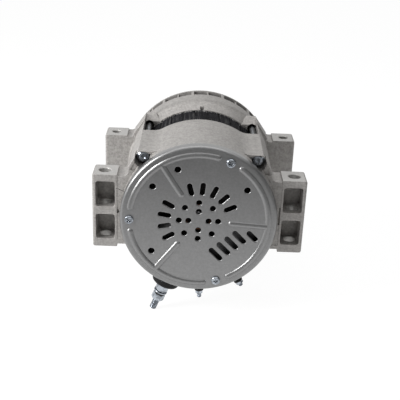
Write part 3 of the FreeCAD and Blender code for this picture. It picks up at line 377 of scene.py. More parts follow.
class Recipe:
    """A node tree while it is put together."""

    def __init__(self, tree):
        self.tree = tree
        self.where = None
        tree.nodes.clear()

    def add(self, kind, settings=None, inputs=None, out=0):
        """Adds a node: its settings first, then the values and links of its sockets. Returns one output."""
        node = self.tree.nodes.new("ShaderNode" + kind)
        for name, value in (settings or {}).items():
            setattr(node, name, value)
        for name, value in (inputs or {}).items():
            socket = node.inputs[name]
            if isinstance(value, Wire):
                self.tree.links.new(value.socket, socket)
            elif socket.type == "RGBA":
                socket.default_value = (*value, 1.0)
            else:
                socket.default_value = value
        return Wire(self, node.outputs[out]) if node.outputs else node

    def maths(self, operation, *values):
        """A Math node on numbers and wires."""
        return self.add("Math", {"operation": operation}, dict(enumerate(values)))

    def mix(self, factor, first, second, blend="MIX"):
        """Blend of two colours."""
        settings = {"data_type": "RGBA", "blend_type": blend}
        return self.add("Mix", settings, {0: factor, 6: first, 7: second}, out=2)

    def shade(self, base, factor):
        """A colour made lighter or darker by a number."""
        grey = self.add("CombineColor", inputs={0: factor, 1: factor, 2: factor})
        return self.mix(1.0, base, grey, "MULTIPLY")

    def place(self):
        """Object coordinates of the surface, in metres."""
        self.where = self.where or self.add("TexCoord", out="Object")
        return self.where

    def axes(self, vector):
        """X, Y and Z of a vector."""
        first = self.add("SeparateXYZ", inputs={0: vector})
        return [Wire(self, socket) for socket in first.socket.node.outputs]

    def rays(self):
        """Whether a ray comes from the camera, and whether it comes by way of gloss or glass."""
        camera = self.add("LightPath", out="Is Camera Ray")
        outputs = camera.socket.node.outputs
        return camera, Wire(self, outputs["Is Glossy Ray"]) + Wire(self, outputs["Is Transmission Ray"])

    def noise(self, scale, detail, roughness, stretch=None, where=None):
        """Noise between 0 and 1. The stretch multiplies each axis of the coordinates first."""
        where = where or self.place()
        if stretch:
            where = self.add("VectorMath", {"operation": "MULTIPLY"}, {0: where, 1: stretch})
        return self.add("TexNoise", {}, {"Vector": where, "Scale": scale, "Detail": detail,
                                         "Roughness": roughness}, out="Fac")

    def between(self, value, low, high):
        """0 at the low value and 1 at the high one, with a soft change."""
        return self.add("MapRange", {"interpolation_type": "SMOOTHSTEP"},
                        {"Value": value, "From Min": low, "From Max": high})

    def hollow(self, distance, only_local):
        """0 deep in a corner and 1 in the open."""
        settings = {"samples": 8, "only_local": only_local}
        return self.add("AmbientOcclusion", settings, {"Distance": distance}, out="AO")

    def soft_edges(self, radius):
        """Normal with the edges rounded off, and a mask of those edges."""
        rounded = self.add("Bevel", {"samples": 6}, {"Radius": radius})
        plain = self.add("NewGeometry", out="Normal")
        agree = self.add("VectorMath", {"operation": "DOT_PRODUCT"}, {0: rounded, 1: plain}, out="Value")
        return rounded, self.between(agree, 0.99, 0.78)

    def bump(self, height, distance, normal=None, strength=1.0):
        """Normal bent by a height."""
        inputs = {"Strength": strength, "Distance": distance, "Height": height}
        if normal:
            inputs["Normal"] = normal
        return self.add("Bump", {}, inputs)

    def surface(self, base, roughness, metallic, normal, specular=0.5):
        """Closes a material with its shader."""
        inputs = {"Base Color": base, "Roughness": roughness, "Metallic": metallic, "Normal": normal,
                  "Specular IOR Level": specular}
        self.add("OutputMaterial", {}, {"Surface": self.add("BsdfPrincipled", {}, inputs)})


def cover_finish(recipe, colours):
    """Satin grey sheet steel: fine even grain, faint rolling lines, edges a little brighter."""
    grain = recipe.noise(2600.0, 2.0, 0.6)
    sand = recipe.noise(430.0, 3.0, 0.7)
    cloud = recipe.noise(45.0, 3.0, 0.5)
    rolled = recipe.noise(260.0, 2.0, 0.5, (0.25, 1.0, 6.0))
    rounded, edge = recipe.soft_edges(0.0003)
    light = 0.64 + 0.14 * grain + 0.40 * sand + 0.08 * cloud + 0.05 * rolled + 0.12 * edge
    normal = recipe.bump(0.5 * grain + 0.5 * sand, 0.000025, rounded, 0.7)
    recipe.surface(recipe.shade(colours.cover, light), 0.26 + 0.08 * grain + 0.06 * cloud, 0.88, normal)


def casting_finish(recipe, colours):
    """Die-cast aluminium: sandy skin, milled pads, edges lightened by wear and a painted highlight, dust and
    painted shade in the corners, painted shade inside.
    """
    x, y, z = recipe.axes(recipe.place())
    grain = recipe.noise(1500.0, 3.0, 0.65)
    sand = recipe.noise(400.0, 3.0, 0.7)
    mottle = recipe.noise(130.0, 4.0, 0.65)
    cloud = recipe.noise(22.0, 2.0, 0.5)
    rounded, edge = recipe.soft_edges(0.0006)
    facing = recipe.axes(recipe.add("NewGeometry", out="True Normal"))
    pad = (abs(x) > MILLED_X) * (abs(facing[2]) > 0.98) * (abs(z) > MILLED_Z)
    across = abs(x) - HOLE_X
    along = recipe.maths("MINIMUM", abs(y - HOLE_ROWS[0]), abs(y - HOLE_ROWS[1]))
    bore = across * across + along * along < MILLED_BORE ** 2
    milled = recipe.maths("MAXIMUM", pad, bore)
    cuts = recipe.noise(900.0, 1.0, 0.4, (1.0, 0.05, 1.0))
    radius = recipe.maths("SQRT", x * x + z * z)
    # Painted shade: this mask darkens the casting to a fifth inside the stator's radius, behind the stator's
    # middle
    inside = (radius < SHADED_INSIDE_RADIUS) * (y < SHADED_INSIDE_END)
    sandy, patchy = recipe.between(sand, 0.30, 0.70), recipe.between(mottle, 0.30, 0.70)
    # Edges are lightened strongly: partly wear, partly a painted highlight along every edge, concave ones too
    skin = 0.61 + 0.08 * grain + 0.36 * sandy + 0.12 * patchy + 0.12 * cloud + 0.60 * edge
    cast = recipe.shade(colours.casting, skin * (1.0 - 0.8 * inside))
    # Dust and painted shade: ambient occlusion darkens corners and recesses towards a dark brown
    dust_and_shade = recipe.between(recipe.hollow(0.013, True) + 0.35 * (mottle - 0.5), 0.66, 0.22)
    dusty_and_shaded = recipe.mix(dust_and_shade * 0.62, cast, colours.dirt)
    base = recipe.mix(milled, dusty_and_shaded, recipe.shade(colours.machined, 0.86 + 0.14 * cuts + 0.12 * mottle))
    relief = (0.45 * grain + 0.75 * sand) * (1.0 - milled) + 0.35 * cuts * milled
    recipe.surface(base, 0.54 + 0.14 * sand - 0.16 * milled - 0.10 * edge, 0.5,
                   recipe.bump(relief, 0.00024, rounded, 0.8))


def zinc_finish(recipe, colours):
    """Bright zinc plating, slightly bluish: faint bloom, painted shade in corners, a painted highlight on the
    upper bolt heads and painted shade on their shanks.
    """
    bloom = recipe.noise(420.0, 3.0, 0.6)
    tarnish = recipe.between(recipe.noise(230.0, 2.0, 0.5), 0.42, 0.58)
    rounded, edge = recipe.soft_edges(0.00025)
    # Painted shade: ambient occlusion darkens the plating in corners and next to other parts
    painted_corner_shade = 0.44 + 0.56 * recipe.between(recipe.hollow(0.002, False), 0.05, 0.55)
    x, y, z = recipe.axes(recipe.place())
    upper = z > UPPER_BOLTS
    # Painted light: the upper bolts' heads are brightened as a painted highlight and their shanks are
    # darkened as painted shade
    shank = recipe.between(y, SHANK_START, SHANK_START + 0.02) * upper
    head = (1.0 - recipe.between(y, HEAD_END, HEAD_END + 0.01)) * upper * (y > BOLTS_LOW.y - 0.002)
    light = (0.50 + 0.30 * bloom + 0.50 * tarnish + 0.80 * edge) * painted_corner_shade
    light = light * (1.0 - 0.62 * shank + 0.75 * head)
    recipe.surface(recipe.shade(colours.zinc, light), 0.16 + 0.14 * bloom + 0.10 * head, 1.0,
                   recipe.bump(bloom, 0.00002, rounded, 0.5))


def lamination_finish(recipe, colours):
    """Black varnish over stacked sheets: fine lines round the core and worn streaks along it."""
    x, y, z = recipe.axes(recipe.place())
    angle = recipe.maths("ARCTAN2", z, x)
    gap = recipe.maths("FRACT", y * 2000.0) < 0.22
    around = recipe.add("CombineXYZ", inputs={0: angle * 40.0, 1: y * 25.0, 2: 0.0})
    streak = recipe.noise(1.0, 3.0, 0.7, where=around)
    varnish = recipe.shade(colours.lamination, 0.2 + 1.6 * recipe.between(streak, 0.30, 0.65))
    bare = recipe.between(y, BARE_START, BARE_END) * recipe.between(streak, 0.48, 0.56)
    base = recipe.mix(recipe.between(streak, 0.52, 0.62) * 0.45, varnish, colours.worn)
    base = recipe.mix(bare * 0.8, base, colours.bare)
    recipe.surface(base, 0.55 + 0.2 * streak, 0.0, recipe.bump(1.0 - gap, 0.00008, None, 0.8), 0.05)


def winding_finish(recipe, colours):
    """Enamelled wire laid round the crowns and dipped in varnish."""
    x, y, z = recipe.axes(recipe.place())
    angle = recipe.maths("ARCTAN2", z, x)
    radius = recipe.maths("SQRT", x * x + z * z)
    sway = recipe.maths("SINE", angle * 18.0) * 6.0
    lay = recipe.maths("SINE", y * 4200.0 + radius * 4200.0 + sway)
    blotch = recipe.noise(140.0, 3.0, 0.6)
    recipe.surface(recipe.shade(colours.winding, 0.55 + 0.35 * blotch + 0.18 * lay), 0.28 + 0.2 * blotch, 0.6,
                   recipe.bump(0.5 + 0.5 * lay, 0.0003, None, 0.8))


def copper_finish(recipe, colours):
    """Bare copper with run-in rings and a little tarnish."""
    tarnish = recipe.noise(110.0, 4.0, 0.6)
    lines = recipe.noise(3000.0, 1.0, 0.5, (0.02, 1.0, 0.02))
    base = recipe.mix(recipe.between(tarnish, 0.45, 0.75) * 0.6, colours.copper, colours.tarnished)
    recipe.surface(base, 0.24 + 0.2 * tarnish, 1.0, recipe.bump(lines, 0.00002))


def plastic_finish(recipe, colours):
    """Black glass-filled plastic with a fine moulded texture."""
    grain = recipe.noise(2200.0, 2.0, 0.6)
    rounded, edge = recipe.soft_edges(0.0004)
    recipe.surface(recipe.shade(colours.plastic, 0.8 + 0.4 * grain + 0.8 * edge), 0.44 + 0.14 * grain, 0.0,
                   recipe.bump(grain, 0.00004, rounded, 0.7), 0.2)


def iron_finish(recipe, colours):
    """Oiled iron of poles and fans, slightly blotched."""
    blotch = recipe.noise(90.0, 4.0, 0.6)
    grain = recipe.noise(1400.0, 2.0, 0.5)
    rounded, edge = recipe.soft_edges(0.0004)
    light = 0.75 + 0.35 * blotch + 0.15 * grain + 0.5 * edge
    recipe.surface(recipe.shade(colours.iron, light), 0.34 + 0.25 * blotch, 0.85,
                   recipe.bump(grain, 0.00004, rounded, 0.7))


def steel_finish(recipe, colours):
    """Turned and ground steel: fine rings round the shaft."""
    rings = recipe.noise(4200.0, 1.0, 0.5, (0.01, 1.0, 0.01))
    bloom = recipe.noise(70.0, 3.0, 0.5)
    rounded, edge = recipe.soft_edges(0.0003)
    light = 0.80 + 0.16 * rings + 0.12 * bloom + 0.1 * edge
    recipe.surface(recipe.shade(colours.steel, light), 0.24 + 0.12 * rings, 1.0,
                   recipe.bump(rings, 0.00002, rounded, 0.6))


def plate_finish(recipe, colours):
    """Rolled aluminium plate, brushed along one way."""
    brushed = recipe.noise(1800.0, 2.0, 0.5, (1.0, 1.0, 0.05))
    cloud = recipe.noise(60.0, 2.0, 0.5)
    light = 0.78 + 0.16 * brushed + 0.14 * cloud
    recipe.surface(recipe.shade(colours.plate, light), 0.36 + 0.14 * brushed, 0.95,
                   recipe.bump(brushed, 0.00002))


def carbon_finish(recipe, colours):
    """Pressed carbon with a fine sparkle."""
    grain = recipe.noise(3500.0, 2.0, 0.7)
    recipe.surface(recipe.shade(colours.carbon, 0.6 + 0.9 * grain), 0.45 + 0.2 * grain, 0.2,
                   recipe.bump(grain, 0.00003))


# Slot of each finish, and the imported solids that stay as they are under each
KEPT = {
    lamination_finish: "stator_core",
    winding_finish: "stator_windings field_coil",
    steel_finish: "pulley_collar fan_spacer bearing_spacer front_bearing_outer_race front_bearing_inner_race "
                  "rear_bearing_outer_race rear_bearing_inner_race",
    iron_finish: "rear_claw_pole front_claw_pole rear_fan front_fan",
    plastic_finish: "coil_bobbin front_bearing_shields rear_bearing_shields slip_ring_hub brush_holder "
                    "regulator rectifier_spacers",
    copper_finish: "slip_rings output_strap",
    carbon_finish: "brushes",
    zinc_finish: "brush_springs diodes rectifier_screws",
    plate_finish: "capacitor capacitor_foot positive_plate negative_plate",
}


def dress(piece, finish):
    """Gives every face of a piece one finish, made the first time it is asked for."""
    name = finish.__name__
    material = bpy.data.materials.get(name)
    if not material:
        material = bpy.data.materials.new(name)
        material.use_nodes = True
        finish(Recipe(material.node_tree), bpy.context.scene.alternator_colours)
    if not piece.material_slots:
        piece.data.materials.append(material)
    for slot in piece.material_slots:
        slot.material = material


def delivered(piece, finish, node, body="housing"):
    """Dresses a finished piece, ties it to its body and lets it stand for a CAD node."""
    dress(piece, finish)
    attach(piece, body)
    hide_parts(node)


def alone(piece):
    """Leaves one piece selected and active."""
    bpy.ops.object.select_all(action="DESELECT")
    piece.select_set(True)
    bpy.context.view_layer.objects.active = piece


class Editing:
    """Edit mode on a piece, with everything selected at its start."""

    def __init__(self, piece):
        self.piece = piece

    def __enter__(self):
        alone(self.piece)
        bpy.ops.object.mode_set(mode="EDIT")
        bpy.ops.mesh.select_mode(type="VERT")
        bpy.ops.mesh.select_all(action="SELECT")
        return self

    def __exit__(self, *error):
        bpy.ops.object.mode_set(mode="OBJECT")

    def weld(self):
        """Merges doubles and keeps everything selected."""
        bpy.ops.mesh.remove_doubles(threshold=WELD)
        bpy.ops.mesh.select_all(action="SELECT")

    def pick(self, kind, test):
        """Selects the verts, edges or faces that pass a test, and nothing else."""
        bpy.ops.mesh.select_all(action="DESELECT")
        bpy.ops.mesh.select_mode(type={"verts": "VERT", "edges": "EDGE", "faces": "FACE"}[kind])
        shape = bmesh.from_edit_mesh(self.piece.data)
        for element in getattr(shape, kind):
            if test(element):
                element.select_set(True)
        bmesh.update_edit_mesh(self.piece.data)


def modified(piece, kind, **settings):
    """Adds a modifier and applies it."""
    alone(piece)
    modifier = piece.modifiers.new(kind.lower(), kind)
    for name, value in settings.items():
        setattr(modifier, name, value)
    bpy.ops.object.modifier_apply(modifier=modifier.name)


def combined(piece, other, operation):
    """Boolean of two pieces. The other one is used up."""
    modified(piece, "BOOLEAN", operation=operation, solver="EXACT", object=other)
    bpy.data.objects.remove(other)
    return piece


def joined(pieces):
    """One object out of several. The first keeps its name."""
    alone(pieces[0])
    for piece in pieces[1:]:
        piece.select_set(True)
    bpy.ops.object.join()
    return pieces[0]


def tidied(piece):
    """Merges doubles and turns the faces outwards."""
    with Editing(piece) as edit:
        edit.weld()
        bpy.ops.mesh.normals_make_consistent(inside=False)
    return piece


def smoothed(piece, degrees=32.0, bevel=0.0):
    """Rounds sharp edges a little and shades the rest smooth."""
    if bevel:
        limit = math.radians(40.0)
        modified(piece, "BEVEL", width=bevel, segments=2, limit_method="ANGLE", angle_limit=limit)
    alone(piece)
    bpy.ops.object.shade_smooth_by_angle(angle=math.radians(degrees))
    modified(piece, "WEIGHTED_NORMAL", keep_sharp=True, weight=50)
    return piece


def settled(piece, matrix):
    """Moves a piece's mesh to its place and leaves the object at the origin."""
    piece.matrix_world = matrix
    alone(piece)
    bpy.ops.object.transform_apply(location=True, rotation=True, scale=True)
    return piece


def copied(piece, name, matrix):
    """A copy of a piece, with a mesh of its own, at its place."""
    twin = piece.copy()
    twin.data = piece.data.copy()
    twin.name = name
    bpy.context.collection.objects.link(twin)
    return settled(twin, matrix)


def placed(x, z, angle=0.0, station=0.0):
    """Matrix that turns about the shaft direction, then moves to X, station and Z."""
    return Matrix.Translation((x, station, z)) @ Matrix.Rotation(-angle, 4, "Y")


def polar(radius, angle, spin=None):
    """Matrix for a place at a radius and angle about the shaft, turned the same way unless told otherwise."""
    return placed(radius * math.cos(angle), radius * math.sin(angle), angle if spin is None else spin)


def cover_face():
    """Station of the cover's flat face."""
    return COVER_HIGH.y - bpy.context.scene.alternator_cover.depth


def arc(centre, radius, first, last, count):
    """Points along an arc, angles in degrees."""
    angles = [math.radians(first + (last - first) * i / count) for i in range(count + 1)]
    return [(centre[0] + radius * math.cos(t), centre[1] + radius * math.sin(t)) for t in angles]


def circle(radius):
    """Outline of a round hole."""
    return arc((0.0, 0.0), radius, 0.0, 348.75, 31)


def stadium(size, width):
    """Outline of a slot with round ends."""
    reach = (size - width) / 2
    return arc((reach, 0.0), width / 2, -90.0, 90.0, 16) + arc((-reach, 0.0), width / 2, 90.0, 270.0, 16)


def box_outline(x0, x1, z0, z1):
    """Outline of a rectangle."""
    return [(x0, z0), (x1, z0), (x1, z1), (x0, z1)]


def chain(name, points, closed=False):
    """A chain of edges through the points, in the plane z = 0."""
    bpy.ops.object.select_all(action="DESELECT")
    bpy.ops.mesh.primitive_plane_add(size=0.001)
    piece = bpy.context.active_object
    piece.name = name
    ends = points[1:] + points[:1] if closed else points[1:]
    with Editing(piece):
        bpy.ops.mesh.merge(type="CENTER")
        bpy.ops.transform.translate(value=(points[0][0], points[0][1], 0.0))
        for (x0, y0), (x1, y1) in zip(points, ends):
            bpy.ops.mesh.extrude_vertices_move(TRANSFORM_OT_translate={"value": (x1 - x0, y1 - y0, 0.0)})
    return piece


def spun(name, points, steps=64, angle=math.tau, closed=False):
    """A chain of (radius, station) points spun about the shaft direction, closed where it meets the axis."""
    piece = chain(name, points, closed)
    with Editing(piece):
        bpy.ops.mesh.spin(steps=steps, angle=angle, center=(0.0, 0.0, 0.0), axis=(0.0, 1.0, 0.0))
    return tidied(piece)


def prism(name, outline, low, high):
    """A closed (x, z) outline drawn out along the shaft direction, between two stations."""
    piece = chain(name, outline, closed=True)
    with Editing(piece) as edit:
        edit.weld()
        bpy.ops.mesh.edge_face_add()
        bpy.ops.mesh.extrude_region_move(TRANSFORM_OT_translate={"value": (0.0, 0.0, high - low)})
    settled(piece, Matrix.Translation((0.0, high, 0.0)) @ Matrix.Rotation(math.pi / 2, 4, "X"))
    return tidied(piece)


def filled(piece):
    """Closes the open ends of a piece."""
    with Editing(piece):
        bpy.ops.mesh.fill_holes(sides=0)
    return piece


def bead_section(cover):
    """Half of a bead's section, from its crown down to its foot and into the sheet."""
    half, height = cover.bead_width / 2, cover.bead_height
    radius = (half * half + height * height) / (2 * height)
    spread = math.degrees(math.asin(half / radius))
    crown = arc((0.0, radius - height), radius, -90.0, spread - 90.0, 8)
    return crown + [(half, cover.sheet / 2), (0.0, cover.sheet / 2)]


def whole_section(cover):
    """Whole closed section of a bead, round its centre line."""
    right = bead_section(cover)
    return right + [(-x, y) for x, y in reversed(right[1:-1])]


def bead_end(cover, matrix):
    """Rounded end of a bead: half of its section spun through half a turn."""
    return settled(spun("bead_end", bead_section(cover), steps=16, angle=math.pi), matrix)


def arc_bead(cover, first, last):
    """Bead along part of the rim, rounded at both ends."""
    section = [(cover.bead_circle + x, y) for x, y in whole_section(cover)]
    steps = round((last - first) / cover.bead_step)
    body = spun("bead", section, steps=steps, angle=last - first, closed=True)
    settled(body, placed(0.0, 0.0, first))
    ends = [bead_end(cover, polar(cover.bead_circle, last)),
            bead_end(cover, polar(cover.bead_circle, first, first + math.pi))]
    return tidied(joined([body] + ends))


def spoke_bead(cover, angle):
    """Straight bead from the arcs towards the centre, rounded at its inner end."""
    body = chain("bead", whole_section(cover), closed=True)
    with Editing(body) as edit:
        edit.weld()
        reach = cover.bead_circle - cover.spoke_inner
        bpy.ops.mesh.extrude_region_move(TRANSFORM_OT_translate={"value": (0.0, 0.0, reach)})
        bpy.ops.mesh.edge_face_add()
    bead = tidied(joined([body, bead_end(cover, placed(0.0, 0.0, math.pi))]))
    return settled(bead, polar(cover.spoke_inner, angle, angle - math.pi / 2))


def cover_pan(cover):
    """Round pan of sheet, with its face at station 0."""
    edge, rim, sheet = COVER_HIGH.x, cover.rim, cover.sheet
    outside = [(0.0, 0.0)] + arc((edge - rim, rim), rim, -90.0, 0.0, 10) + [(edge, cover.depth)]
    inside = arc((edge - rim, rim), rim - sheet, 0.0, -90.0, 10) + [(0.0, sheet)]
    pan = spun("pressed_cover", outside + [(edge - sheet, cover.depth)] + inside, steps=cover.steps)
    with Editing(pan) as edit:
        edit.pick("faces", lambda face: abs(face.normal.y) > 0.9999)
        bpy.ops.mesh.dissolve_limited(angle_limit=0.001)
    return pan


def cover_beads(cover):
    """The three arcs between the screws and the three spokes."""
    screws = list(cover.screw_angles)
    arcs = [arc_bead(cover, first + cover.bead_gap, last - cover.bead_gap)
            for first, last in zip(screws, screws[1:] + [screws[0] + math.tau])]
    return arcs + [spoke_bead(cover, angle) for angle in cover.spoke_angles]


def cover_cutters(cover):
    """Cutters for every opening of the cover, as one object."""
    width, first, step = cover.slot_width, Vector(cover.louvre_first), Vector(cover.louvre_step)
    openings = (
        (circle(cover.vent), [polar(cover.vent_circle, math.tau * i / 8) for i in range(8)]
         + [polar(cover.inner_vent_circle, math.tau * i / 4) for i in range(4)]),
        (stadium(cover.slot_length, width), [polar(cover.slot_circle, angle) for angle in cover.slot_angles]),
        (circle(cover.access), [polar(cover.access_circle, angle) for angle in cover.access_angles]),
        (circle(cover.screw_hole), [polar(cover.screw_circle, angle) for angle in cover.screw_angles]),
        (stadium(cover.louvre_length, width),
         [placed(*(first + step * i), cover.louvre_turn) for i in range(4)]),
        (stadium(cover.short_louvre_length, width), [placed(*cover.short_louvre, cover.louvre_turn)]),
    )
    cutters = []
    for outline, places in openings:
        pattern = prism("cutter", outline, -cover.bead_height * 2, cover.sheet * 2)
        cutters += [copied(pattern, "cutter", matrix) for matrix in places]
        bpy.data.objects.remove(pattern)
    return joined(cutters)


def opening_edge(edge):
    """True for an edge between the cover's flat face, at station 0, and the wall of an opening."""
    if len(edge.link_faces) != 2 or max(abs(v.co.y) for v in edge.verts) > WELD:
        return False
    slopes = sorted(abs(face.normal.y) for face in edge.link_faces)
    return slopes[0] < 0.1 and slopes[1] > 0.99


class ALTERNATOR_OT_cover(bpy.types.Operator):
    """Pressed rear cover with its beads, slots and holes."""

    bl_idname = "alternator.cover"
    bl_label = "Rear cover"

    def execute(self, context):
        cover = context.scene.alternator_cover
        pan = cover_pan(cover)
        for bead in cover_beads(cover):
            combined(pan, bead, "UNION")
        combined(pan, cover_cutters(cover), "DIFFERENCE")
        with Editing(pan) as edit:
            edit.pick("edges", opening_edge)
            bpy.ops.mesh.bevel(offset=cover.hole_edge, segments=3, affect="EDGES")
        settled(pan, placed(0.0, 0.0, 0.0, cover_face()))
        delivered(smoothed(pan), cover_finish, "rear_cover")
        return {"FINISHED"}


class ALTERNATOR_OT_cover_screws(bpy.types.Operator):
    """Three pan-head screws with a tapered cross recess."""

    bl_idname = "alternator.cover_screws"
    bl_label = "Cover screws"

    def execute(self, context):
        cover, sizes = context.scene.alternator_cover, context.scene.alternator_fasteners
        head, height, edge = sizes.screw_head, sizes.screw_height, sizes.screw_round
        shank, end, tip = sizes.screw_shank, sizes.screw_length, sizes.tip
        profile = [(0.0, -height)] + arc((head - edge, edge - height), edge, -90.0, 0.0, 6)
        profile += [(head, 0.0), (shank, 0.0), (shank, end - tip), (shank - tip, end), (0.0, end)]
        screw = spun("cover_screw", profile, steps=40)
        arm, thin = sizes.recess_span / 2, sizes.recess_width / 2
        cross = [(arm, -thin), (arm, thin), (thin, thin), (thin, arm), (-thin, arm), (-thin, thin),
                 (-arm, thin), (-arm, -thin), (-thin, -thin), (-thin, -arm), (thin, -arm), (thin, -thin)]
        floor, share = sizes.recess_depth - height, sizes.recess_floor
        recess = prism("recess", cross, -height * 1.5, floor)
        with Editing(recess) as edit:
            edit.pick("verts", lambda vertex: vertex.co.y > floor - 0.0001)
            bpy.ops.transform.resize(value=(share, 1.0, share))
        smoothed(combined(screw, recess, "DIFFERENCE"), 35.0, sizes.fine_edge)
        for i, (angle, recess_turn) in enumerate(zip(cover.screw_angles, cover.screw_turns)):
            matrix = polar(cover.screw_circle, angle, recess_turn)
            matrix.translation.y = cover_face()
            delivered(copied(screw, f"cover_screw_{i + 1}", matrix), zinc_finish, "cover_screws")
        bpy.data.objects.remove(screw)
        return {"FINISHED"}


def casting_copy(node, name):
    """Copy of a packed casting, merged, with its level faces in one piece."""
    piece = copied(frame["nodes"][node], name, Matrix.Identity(4))
    for key in [key for key in piece.keys() if key.startswith("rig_")]:
        del piece[key]
    piece.parent = None
    with Editing(piece) as edit:
        edit.weld()
        bpy.ops.mesh.dissolve_limited(angle_limit=math.radians(0.5))
    return piece


def cast_form(outline, low, high, side=1):
    """A form of the rear casting on one side, between two stations from the cover's face."""
    return prism("form", [(side * x, z) for x, z in outline], cover_face() + low, cover_face() + high)


def ear_blend(sizes):
    """Outline of the hollow blend between the barrel and the level top of a rear ear."""
    height, reach = sizes.ear_top + sizes.blend, sizes.barrel + sizes.blend
    centre = math.sqrt(reach * reach - height * height)
    start = math.degrees(math.atan2(-height, -centre))
    curve = arc((centre, height), sizes.blend, start, -90.0, 10)
    corner = math.sqrt(sizes.barrel ** 2 - sizes.ear_top ** 2)
    under, inner = sizes.ear_top - sizes.blend_depth, (sizes.barrel - sizes.blend_depth) / sizes.barrel
    return curve + [(centre, under), (corner, under), (curve[0][0] * inner, curve[0][1] * inner)]


def web_face(sizes):
    """Outline of the plate that brings a rear web out to the level of its pad."""
    ear, pad = sizes.web_sides
    fillet, wall = sizes.web_fillet, sizes.barrel - sizes.blend_depth
    top = sizes.web_top + fillet
    low_angle = math.degrees(math.asin(sizes.web_low / wall))
    high_angle = math.degrees(math.asin(top / wall))
    return ([(pad, sizes.web_low), (pad, sizes.web_top)] + arc((ear + fillet, top), fillet, 270.0, 180.0, 8)
            + arc((0.0, 0.0), wall, high_angle, low_angle, 24))


def web_marks(sizes):
    """Cutters for the crease, the half-round notch and the slit on the rear webs."""
    x0, z0, x1, z1 = sizes.crease
    half = sizes.crease_width / 2
    x, z, radius = sizes.notch
    outlines = ([(x0, z0 - half), (x1, z1 - half), (x1, z1 + half), (x0, z0 + half)],
                arc((x, z), radius, -90.0, 90.0, 12), box_outline(*sizes.slit))
    low, high = sizes.web_reach[0] - PAST, sizes.web_reach[0] + sizes.mark_depth
    return joined([cast_form(outline, low, high) for outline in outlines])


def window_slopes(sizes):
    """Cutters that slope the front casting down to the window's far edge."""
    wall = cover_face() + sizes.window_end
    near, foot, top = wall - 0.0002, sizes.slope_foot, sizes.slope_top
    far = wall + (top - foot) / math.tan(sizes.slope)
    profile = [(foot, near), (top, near), (top, far)]
    slope = filled(spun("slope", profile, steps=36, angle=sizes.slope_half * 2, closed=True))
    cutters = [tidied(settled(slope, placed(0.0, 0.0, math.pi / 2 - sizes.slope_half)))]
    foot = sizes.ear_slope_foot
    far = wall + (top - foot) / math.tan(sizes.ear_slope)
    first, last = sizes.ear_slope_reach
    for low, high in ((first, last), (-last, -first)):
        ear_slope = prism("slope", [(near, foot), (far, top), (near, top)], low, high)
        cutters.append(settled(ear_slope, Matrix.Rotation(math.pi / 2, 4, "Z")))
    flange = bpy.context.scene.alternator_fasteners.flange
    for x in (BOLTS_HIGH.x - flange, flange - BOLTS_HIGH.x):
        pocket = prism("pocket", circle(sizes.pocket), wall - PAST, wall + sizes.pocket_depth)
        cutters.append(settled(pocket, placed(x, BOLTS_HIGH.z - flange)))
    return cutters


class ALTERNATOR_OT_castings(bpy.types.Operator):
    """Both castings with their edges rounded as a die leaves them."""

    bl_idname = "alternator.castings"
    bl_label = "Castings"

    def execute(self, context):
        sizes = context.scene.alternator_castings
        rear = casting_copy("rear_housing", "rear_casting")
        rib = list(zip(sizes.rib_x, sizes.rib_z))
        forms = ((ear_blend(sizes), sizes.ear_start, sizes.window_start), (rib, *sizes.rib_reach),
                 (web_face(sizes), *sizes.web_reach))
        for side in (1, -1):
            for outline, low, high in forms:
                combined(rear, cast_form(outline, low, high, side), "UNION")
        combined(rear, web_marks(sizes), "DIFFERENCE")
        front = casting_copy("front_housing", "front_casting")
        for cutter in window_slopes(sizes):
            combined(front, cutter, "DIFFERENCE")
        for piece, node in ((rear, "rear_housing"), (front, "front_housing")):
            delivered(smoothed(piece, 32.0, sizes.edge), casting_finish, node)
        return {"FINISHED"}


def hexagon(flats, low, high, share=0.45, slant=33.0, both=True):
    """Hexagon between two stations, chamfered as a nut is, at its high end only if both are asked for."""
    piece = prism("hexagon", arc((0.0, 0.0), flats / math.sqrt(3.0), 30.0, 330.0, 5), low, high)
    inner, corner = flats * share, flats / math.sqrt(3.0) * 1.01
    drop = (corner - inner) * math.tan(math.radians(slant))
    top = [(corner, high - drop), (inner, high)] if both else [(corner, high)]
    envelope = [(0.0, low), (inner, low), (corner, low + drop)] + top + [(0.0, high)]
    return combined(piece, spun("envelope", envelope, steps=72), "INTERSECT")


class ALTERNATOR_OT_through_bolts(bpy.types.Operator):
    """Four hexagon flange bolts through both castings."""

    bl_idname = "alternator.through_bolts"
    bl_label = "Through bolts"

    def execute(self, context):
        sizes = context.scene.alternator_fasteners
        flange, flats, rim, shank, tip = (sizes.flange, sizes.bolt_flats, sizes.flange_edge, sizes.bolt_shank,
                                          sizes.tip)
        rise, top = -sizes.flange_height, -sizes.flange_height - sizes.bolt_height
        seat = BOLTS_LOW.y + sizes.bolt_height + sizes.flange_height
        end = BOLTS_HIGH.y - seat
        profile = [(0.0, rise - SUNK), (flats * 0.54, rise - 0.0002), (flange - rim, -rim * 1.2)]
        profile += arc((flange - rim / 2, -rim / 2), rim / 2, -90.0, 0.0, 4)
        profile += [(flange, 0.0), (shank, 0.0), (shank, end - tip), (shank - tip, end), (0.0, end)]
        bolt = spun("through_bolt", profile, steps=48)
        combined(bolt, hexagon(flats, top, rise + SUNK, 0.38, 40.0, both=False), "UNION")
        wide, deep = sizes.dimple, top + sizes.dimple_depth
        dimple = [(0.0, top - PAST), (wide, top - PAST), (wide, top), (wide * 0.8, deep), (0.0, deep)]
        combined(bolt, spun("dimple", dimple, steps=40), "DIFFERENCE")
        smoothed(bolt, 30.0, sizes.bolt_edge)
        x, z = BOLTS_HIGH.x - flange, BOLTS_HIGH.z - flange
        places = ((x, z), (-x, z), (-x, -z), (x, -z))
        for i, (place, angle) in enumerate(zip(places, sizes.bolt_turns)):
            piece = copied(bolt, f"through_bolt_{i + 1}", placed(*place, angle, seat))
            delivered(piece, zinc_finish, "through_bolts")
        bpy.data.objects.remove(bolt)
        return {"FINISHED"}


